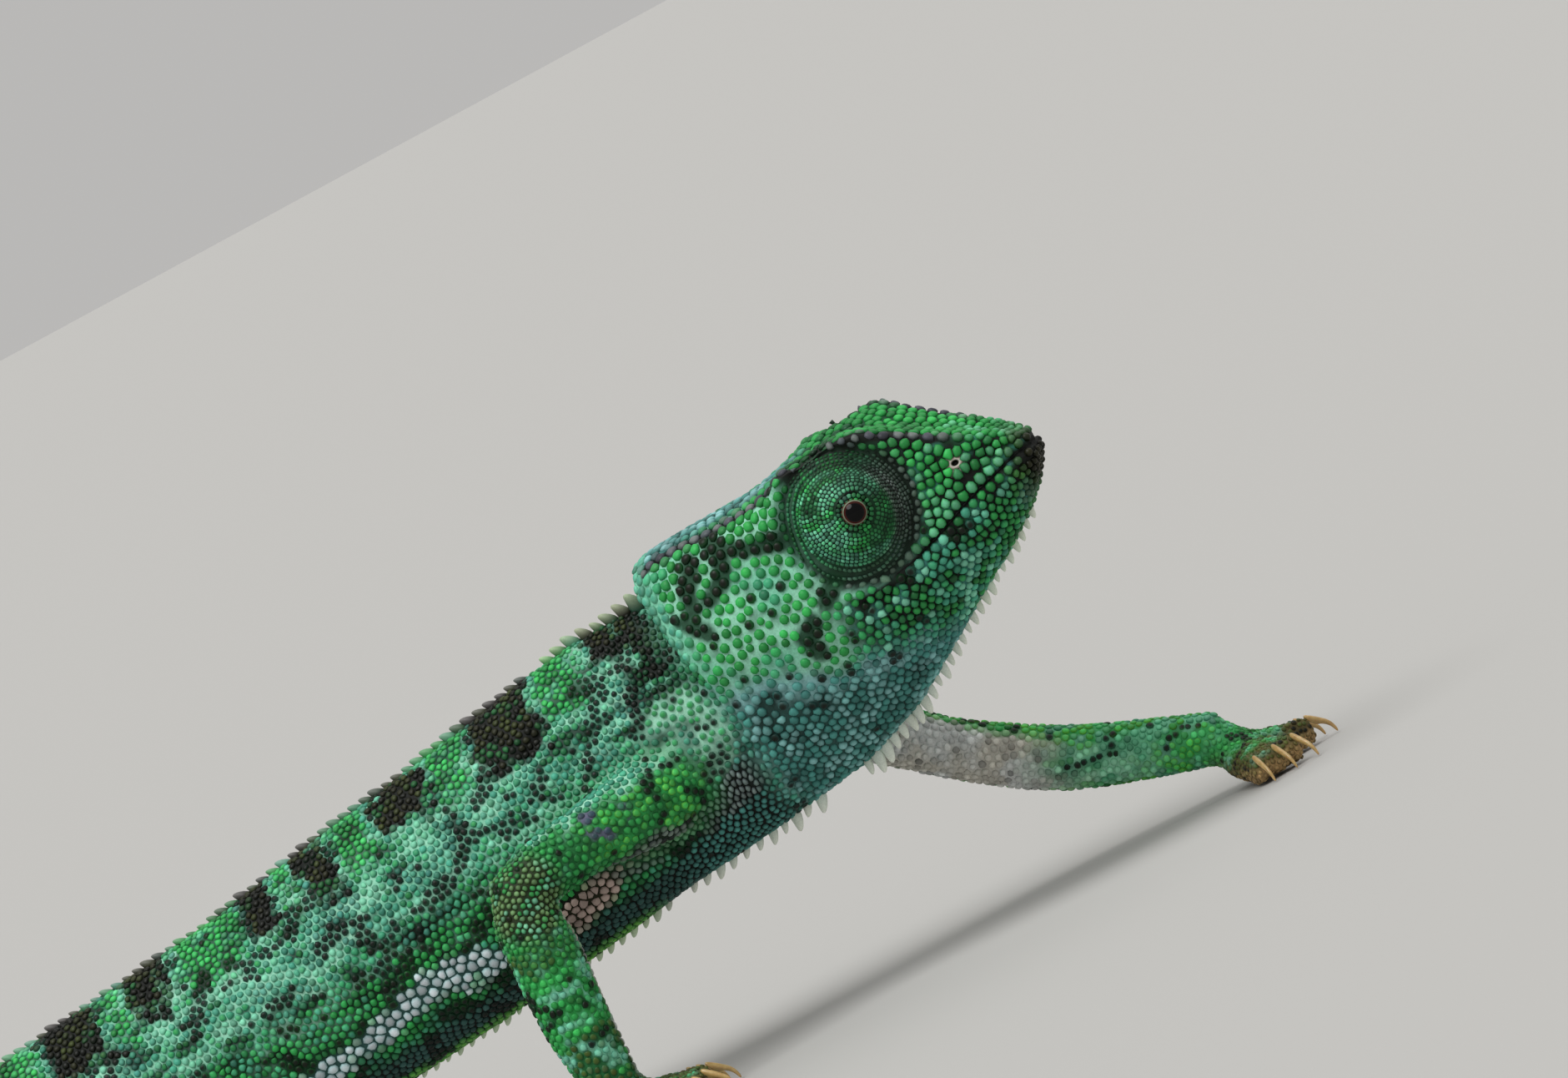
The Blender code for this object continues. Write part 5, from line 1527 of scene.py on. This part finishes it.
NAPE_AND_BACK_ENDS = (0.0, 86.0)  # how far behind station 0 each row ends
BREAST_END = 34  # points of the belly's path
back_path = edge_path(in_trunk(skin), ("neck", "trunk", "tail"), 14.6, TAIL_TIP_STATION, False)
nape_end, tail_start = np.searchsorted(-(back_path[:, 0] - shift_x), NAPE_AND_BACK_ENDS)
chin_path = edge_path(in_head(skin), ("head", "throat"), 36.0, 9.0, True)
belly_path = edge_path(in_trunk(skin), ("throat", "neck", "trunk"), 19.0, -84.0, True)
ROWS = {  # path, spacing, and the sizes at both ends
    "nape": (back_path[:nape_end], 1.4, ((1.4, 0.9, 1.45), (1.3, 0.85, 0.95))),
    "back": (back_path[nape_end:tail_start], 1.2, ((1.25, 0.85, 0.8), (1.1, 0.75, 0.6))),
    "tail": (back_path[tail_start:], 1.05, ((1.0, 0.65, 0.5), (0.65, 0.4, 0.25))),
    "chin": (chin_path, 1.15, ((0.75, 0.5, 0.8), (1.1, 0.66, 1.7))),
    "breast": (belly_path[:BREAST_END], 1.45, ((1.1, 0.7, 1.5), (0.85, 0.55, 0.9))),
    "belly": (belly_path[BREAST_END:], 1.3, ((0.85, 0.5, 0.85), (0.6, 0.4, 0.45))),
}
# The chin, breast and belly spines are white in life. Their near-white tips, spread over most of the feet,
# are that white with painted backlight added.
SPINE_TIPS = {  # the tip's colour, and how much it covers the colour of the place
    "nape": ("pale_tip", 0.7), "back": ("purple_tip", 0.55), "tail": ("purple_tip", 0.5),
    "chin": ("backlit_cream", 0.95), "breast": ("backlit_cream", 0.95), "belly": ("backlit_cream", 0.7),
}
UNEVENNESS = 0.22

# %% Grow the spines
def get_attribute(mesh, name, width, field):
    """The values stored for each point of the mesh, in rows of this width."""
    values = np.empty(len(mesh.vertices) * width, dtype=np.float32)
    mesh.attributes[name].data.foreach_get(field, values)
    return values.reshape(-1, width)


spine_seed = bpy.data.objects.new("one_spine", spine_mesh())
tree = spine_tree()
inputs = {item.name: item.identifier for item in tree.interface.items_tree if item.in_out == "INPUT"}
for seed, (name, (line, spacing, sizes)) in enumerate(ROWS.items()):
    places_here, outwards, forwards, size, on_faces = spine_row(line, spacing, sizes)
    _, _, foot_top, foot_dark = colours_at(places_here, shares_at(on_faces), outwards)
    dusk = foot_dark[:, None] * 0.7
    foot = foot_top * (1 - dusk) + dusk * COLOURS["dusk"]
    tip_name, tip_share = SPINE_TIPS[name]
    tip = foot * (1 - tip_share) + COLOURS[tip_name] * tip_share
    # Whitish spines take the tip's colour over most of the foot too: their own white with painted
    # backlight.
    foot = 0.25 * foot + 0.75 * tip if tip_name == "backlit_cream" else 0.55 * foot
    path_mesh = bpy.data.meshes.new(name + "_path")
    path_mesh.from_pydata((places_here * MM).tolist(), [], [])
    vectors = {"outwards": outwards, "forwards": forwards, "size": size * MM}
    vectors.update({"foot_tone": foot, "tip_tone": tip})
    for attribute, values in vectors.items():
        set_attribute(path_mesh, attribute, "FLOAT_VECTOR", "vector", values)
    row = in_scene("spines_" + name, path_mesh)
    grow = row.modifiers.new("spines", "NODES")
    grow.node_group = tree
    grow[inputs["Spine"]] = spine_seed
    grow[inputs["Unevenness"]] = UNEVENNESS
    grow[inputs["Seed"]] = seed
    grow[inputs["Finish"]] = scale_finish
    mesh = evaluated_mesh(row)
    rise = np.clip(get_attribute(mesh, "rise", 1, "value"), 0, 1) ** 1.3
    foot, tip = (get_attribute(mesh, attribute, 3, "vector") for attribute in ("foot_tone", "tip_tone"))
    set_tint(mesh, foot * (1 - rise) + tip * rise)
    each = len(spine_seed.data.vertices)
    corner_spine = np.array([loop.vertex_index for loop in mesh.loops]) // each
    around = np.array([spine_seed.data.vertices[loop.vertex_index % each].co[:2] for loop in mesh.loops])
    flat_places = face_flat[on_faces][corner_spine] + around * PATCH / 2
    mesh.uv_layers.new(name="OFBake").data.foreach_set("uv", flat_places.ravel())
    skin_piece("spines_" + name, mesh)
    print(f"{name}: {len(places_here)} spines, {len(mesh.polygons)} faces")
bpy.data.objects.remove(spine_seed)

# %% [markdown]
# ## Eyes
# Only a small part of the eyeball shows, in a hole in the fused lids. The ball is wet and nearly
# black, with a thin red-brown iris. The lids' rim is a lathed ring that hugs it, so that the ball
# sits in the flesh and not on it.

# %% Eyeballs
IRIS_FROM = math.radians(41)  # the pupil ends at this angle from the gaze
BALL_RINGS, BALL_SEGMENTS, LID_SEGMENTS = 24, 40, 44


def lathe(name, profile, matrix, segments, bumps=0.0):
    """A profile of distance out and along turned round an axis, with every second spoke raised."""
    points = []
    for r, (out, onwards) in enumerate(profile):
        for k in range(segments):
            turn = 2 * math.pi * k / segments
            lift = bumps * math.sin(math.pi * r / (len(profile) - 1)) * (1 if (k + r) % 2 else -1)
            points.append((out * math.cos(turn), out * math.sin(turn), onwards + lift))
    mesh = bpy.data.meshes.new(name)
    mesh.from_pydata([matrix @ Vector(point) * MM for point in points], [], bands(len(profile), segments))
    mesh.shade_smooth()
    return mesh


def facing_along(place, axis):
    """The matrix that moves a piece to a place and turns its Z to an axis."""
    return Matrix.Translation(place) @ axis.to_track_quat("Z", "Y").to_matrix().to_4x4()


def ball_profile(radius):
    angles = [math.pi * n / BALL_RINGS for n in range(BALL_RINGS + 1)]
    return [(max(radius * math.sin(angle), 0.002), radius * math.cos(angle)) for angle in reversed(angles)]


eye_finish, tree = empty_material("wet_eyeball")
# A wet cornea over a dark eye: black pupil, thin red-brown iris, sharp highlights.
tint = add_node(tree, "ShaderNodeAttribute", {"attribute_name": "tint"}).outputs["Color"]
eye_shader = add_node(
    tree, "ShaderNodeBsdfPrincipled", Base_Color=tint, Roughness=0.12, IOR=1.376, Coat_Weight=0.1,
    Coat_Roughness=0.04, Specular_IOR_Level=0.12,
)
add_node(tree, "ShaderNodeOutputMaterial", Surface=eye_shader.outputs["BSDF"])

LID = (  # distance out from the gaze axis and along it from the ball's middle
    (0.90, 0.72), (0.92, 0.86), (0.96, 0.94), (1.01, 0.93), (1.07, 0.82), (1.13, 0.52), (1.60, 0.30),
    (2.00, 0.10), (2.45, -0.10),
)
LID_TINTS = ("black", "iris", "iris", "lid_pale", "lid_pale", "black", "black", "black", "black")
for side in SIDES:
    matrix = facing_along(middle_of("eyeball_" + side), turret_gaze(side)[1])
    low, high = box_mm("eyeball_" + side)
    radius = (high.z - low.z) / 2
    mesh = lathe("visible_eyeball_" + side, ball_profile(radius), matrix, BALL_SEGMENTS)
    inverse = matrix.inverted()
    angle = np.array([(inverse @ (vertex.co / MM)).angle(Vector((0, 0, 1))) for vertex in mesh.vertices])
    brown = ramp(angle, IRIS_FROM, IRIS_FROM + 0.05)[:, None]
    set_tint(mesh, COLOURS["pupil"] * (1 - brown) + COLOURS["iris"] * brown)
    mesh.materials.append(eye_finish)
    ball = in_scene("visible_eyeball_" + side, mesh)
    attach(ball, "root")
    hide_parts("eyeball_" + side)
    lids = lathe("lids_" + side, LID, matrix, LID_SEGMENTS, bumps=0.012)
    set_tint(lids, np.repeat([COLOURS[name] for name in LID_TINTS], LID_SEGMENTS, axis=0))
    skin_piece("lids_" + side, lids)
print(f"eyes made, {time.time() - started:.1f} s")

# %% [markdown]
# ## Mouth and nostrils
# The closed mouth is a groove much thinner than the skin's own faces, so it is drawn as what the
# eye reads: a thin dark cord of shadow between the two rows of lip scales. The nostril is a small
# hole with a bare, pinkish rim.

# %% The line of the mouth and the nostrils' rims
MOUTH_WIDTH, MOUTH_SUNK, MOUTH_STEP = 0.12, 0.02, 0.3
MOUTH_SIDES, NOSTRIL_SEGMENTS = 6, 20
NOSTRIL_RIM = (  # distance out from the hole's axis, and along it from the skin
    (0.10, -0.30), (0.20, -0.12), (0.27, 0.06), (0.38, 0.15), (0.52, 0.13), (0.64, 0.0), (0.68, -0.2),
)
NOSTRIL_OVAL = (1.15, 0.85, 1, 1)
# The two black rings below the skin are painted shade inside the hole, and the rest is the rim's own
# colour.
NOSTRIL_TINTS = ("black", "black", "umber", "flesh", "pink", "flesh", "moss")


def skin_cord(name, line, width, sunk, tint):
    """A thin closed tube along a line on the skin."""
    ring = []
    tangents = unit(np.gradient(line, axis=0))
    _, on_faces = onto_skin(line)
    outwards = square_to(at_faces(normals, on_faces), tangents)
    sideways = np.cross(tangents, outwards)
    for n, point in enumerate(line - outwards * sunk):
        thin = width * math.sqrt(max(1 - (2 * n / (len(line) - 1) - 1) ** 6, 0.05))
        for k in range(MOUTH_SIDES):
            turn = 2 * math.pi * k / MOUTH_SIDES
            ring.append(point + thin * (outwards[n] * math.sin(turn) + sideways[n] * math.cos(turn)))
    faces = bands(len(line), MOUTH_SIDES)
    faces += [tuple(range(MOUTH_SIDES - 1, -1, -1)), tuple(range(len(ring) - MOUTH_SIDES, len(ring)))]
    mesh = bpy.data.meshes.new(name)
    mesh.from_pydata([tuple(point * MM) for point in ring], [], faces)
    mesh.shade_smooth()
    set_tint(mesh, np.tile(COLOURS[tint], (len(ring), 1)))
    return mesh


for name, side in SIDES.items():
    hits = [from_side(place, side) for place in even_points(MOUTH, MOUTH_STEP)]
    line = evened(np.array([hit for hit in hits if hit]), 3)
    cord = skin_cord("mouth_line_" + name, line, MOUTH_WIDTH, MOUTH_SUNK, "black")
    skin_piece("mouth_line_" + name, cord)
    around = [round_nostril(0.7, turn, side) for turn in (0, 2.1, 4.2)]
    outwards = (around[1] - around[0]).cross(around[2] - around[0]).normalized()
    outwards *= 1 if outwards.dot(HEAD.to_3x3() @ Vector((0, side, 0))) > 0 else -1
    matrix = facing_along(sum(around, Vector()) / 3, outwards) @ Matrix.Diagonal(NOSTRIL_OVAL)
    rim = lathe("nostril_" + name, NOSTRIL_RIM, matrix, NOSTRIL_SEGMENTS)
    set_tint(rim, np.repeat([COLOURS[tint] for tint in NOSTRIL_TINTS], NOSTRIL_SEGMENTS, axis=0))
    skin_piece("nostril_" + name, rim)
print(f"mouth and nostrils, {time.time() - started:.1f} s")

# %% [markdown]
# ## Claws
# Each toe ends in a slender curved claw of clear horn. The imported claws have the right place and
# bend but a square section, so one copy of all twenty is rounded by a subdivision surface. That
# also draws their thick ends in, so the ends are first pushed deeper into the toes.

# %% Round the claws
CLAWS = [part["node"] for part in frame["record"]["subparts"] if part["material_slot"] == "claw"]
CLAW_ROOT_ADDED, CLAW_SWELL = 1.6, 0.05
ROOT_SHARE, BEFORE_ROOT = 0.88, (0.6, 0.85)  # shares of a claw's length from its tip
together = bmesh.new()
for name in CLAWS:
    together.from_mesh(frame["nodes"][name].data)
    together.verts.ensure_lookup_table()
    own = together.verts[-len(frame["nodes"][name].data.vertices):]
    spots = np.array([vertex.co for vertex in own])
    travelled = (spots - spots.mean(axis=0)) @ np.linalg.svd(spots - spots.mean(axis=0))[2][0]
    from_tip = (travelled - travelled.min()) / np.ptp(travelled)
    thickness = [np.ptp(spots[end], axis=0).sum() for end in (from_tip < 0.12, from_tip > 0.9)]
    if thickness[0] > thickness[1]:
        from_tip = 1 - from_tip
    root = from_tip > ROOT_SHARE
    before = (from_tip > BEFORE_ROOT[0]) & (from_tip < BEFORE_ROOT[1])
    backwards = Vector(spots[root].mean(axis=0) - spots[before].mean(axis=0)).normalized()
    for vertex, at_root in zip(own, root):
        vertex.co += backwards * CLAW_ROOT_ADDED * MM * float(at_root)
bmesh.ops.remove_doubles(together, verts=together.verts, dist=SAME_POINT)
bmesh.ops.join_triangles(
    together, faces=together.faces,
    angle_face_threshold=math.radians(20), angle_shape_threshold=math.radians(60),
)
for vertex in together.verts:
    vertex.co += vertex.normal * CLAW_SWELL * MM
claw_mesh = bpy.data.meshes.new("claws")
together.to_mesh(claw_mesh)
together.free()
claws = in_scene("claws", claw_mesh)
round_off = claws.modifiers.new("round_off", "SUBSURF")
round_off.levels = round_off.render_levels = 2
claw_mesh = evaluated_mesh(claws)
claw_mesh.shade_smooth()
claws = in_scene("claws", claw_mesh)
claw_finish, tree = empty_material("clear_horn_claw")
# Horn is smooth and a little translucent, golden where it is thick.
place = add_node(tree, "ShaderNodeTexCoord").outputs["Object"]
STREAK_MM = 0.5
streaks = add_node(tree, "ShaderNodeTexNoise", Vector=place, Scale=1 / (STREAK_MM * MM), Detail=2.0)
horn = add_node(tree, "ShaderNodeMix", {"data_type": "RGBA"})
tree.links.new(streaks.outputs["Fac"], horn.inputs["Factor"])
horn.inputs[6].default_value = (*linear("8a6a35"), 1)
horn.inputs[7].default_value = (*linear("c9ae72"), 1)
claw_shader = add_node(
    tree, "ShaderNodeBsdfPrincipled", Base_Color=horn.outputs[2], Roughness=0.3, IOR=1.55,
    Subsurface_Weight=0.2, Subsurface_Scale=0.8 * MM,
)
add_node(tree, "ShaderNodeOutputMaterial", Surface=claw_shader.outputs["BSDF"])
claw_mesh.materials.append(claw_finish)
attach(claws, "root")
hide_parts(*CLAWS)
print(f"{len(CLAWS)} claws, {time.time() - started:.1f} s")

# %% [markdown]
# ## Floor, light and camera
# The model stands on a plain pale floor in soft light from above, as in a studio. The animal
# climbs a slope in life. Here the floor stays level and the camera is rolled instead, which gives
# the same view of it.

# %% Camera
AZIMUTH, ELEVATION, ROLL = math.radians(10), math.radians(3.4), math.radians(28.5)
AIM_STATION, AIM_HEIGHT = 25.84, 39.86
FIELD_MM, CAMERA_DISTANCE = 139.26, 0.9
SENSOR_WIDTH = 36.0
aim = Vector((AIM_STATION + shift_x, shift_y, AIM_HEIGHT)) * MM
forward = Vector((
    -math.sin(AZIMUTH) * math.cos(ELEVATION), math.cos(AZIMUTH) * math.cos(ELEVATION), -math.sin(ELEVATION),
))
level = Vector((math.cos(AZIMUTH), math.sin(AZIMUTH), 0))
upright = level.cross(forward)
right = level * math.cos(ROLL) - upright * math.sin(ROLL)
up = level * math.sin(ROLL) + upright * math.cos(ROLL)
camera = in_scene("camera", bpy.data.cameras.new("camera"))
turn = Matrix((right, up, -forward)).transposed().to_4x4()
camera.matrix_world = Matrix.Translation(aim - forward * CAMERA_DISTANCE) @ turn
camera.data.sensor_width = SENSOR_WIDTH
camera.data.lens = SENSOR_WIDTH * CAMERA_DISTANCE / (FIELD_MM * MM)
camera.data.clip_end = 50
bpy.context.scene.camera = camera

# %% Lights
bpy.context.scene.view_settings.view_transform = "Standard"
middle = Vector((AIM_STATION + shift_x, shift_y, 20)) * MM


def soft_sun(name, direction, strength, spread):
    """A distant lamp as wide as a studio's soft box, which lights the floor evenly."""
    lamp = in_scene(name, bpy.data.lights.new(name, "SUN"))
    lamp.data.energy = strength
    lamp.data.angle = math.radians(spread)
    lamp.location = middle + Vector(direction)
    lamp.rotation_euler = Vector(direction).to_track_quat("Z", "Y").to_euler()


soft_sun("key_light", (-0.30, -0.60, 1.2), 2.5, 40)
soft_sun("top_light", (0.5, 0.5, 1.0), 0.6, 60)
world = bpy.data.worlds.new("studio_air")
bpy.context.scene.world = world
world.use_nodes = True
world.node_tree.nodes["Background"].inputs["Color"].default_value = (0.81, 0.80, 0.785, 1)
world.node_tree.nodes["Background"].inputs["Strength"].default_value = 0.6

# %% Floor
FLOOR_HALF = 12.0
floor_mesh = bpy.data.meshes.new("floor")
corners = [(x * FLOOR_HALF, y * FLOOR_HALF, 0) for x, y in ((-1, -1), (1, -1), (1, 1), (-1, 1))]
floor_mesh.from_pydata(corners, [], [(0, 1, 2, 3)])
floor = in_scene("floor", floor_mesh)
floor_finish, tree = empty_material("matt_pale_floor")
paper = add_node(tree, "ShaderNodeBsdfPrincipled", Base_Color=(*linear("abaaa7"), 1), Roughness=0.85)
add_node(tree, "ShaderNodeOutputMaterial", Surface=paper.outputs["BSDF"])
floor_mesh.materials.append(floor_finish)

# %% The end
import json
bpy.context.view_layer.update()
print(f"all made in {time.time() - started:.1f} s")
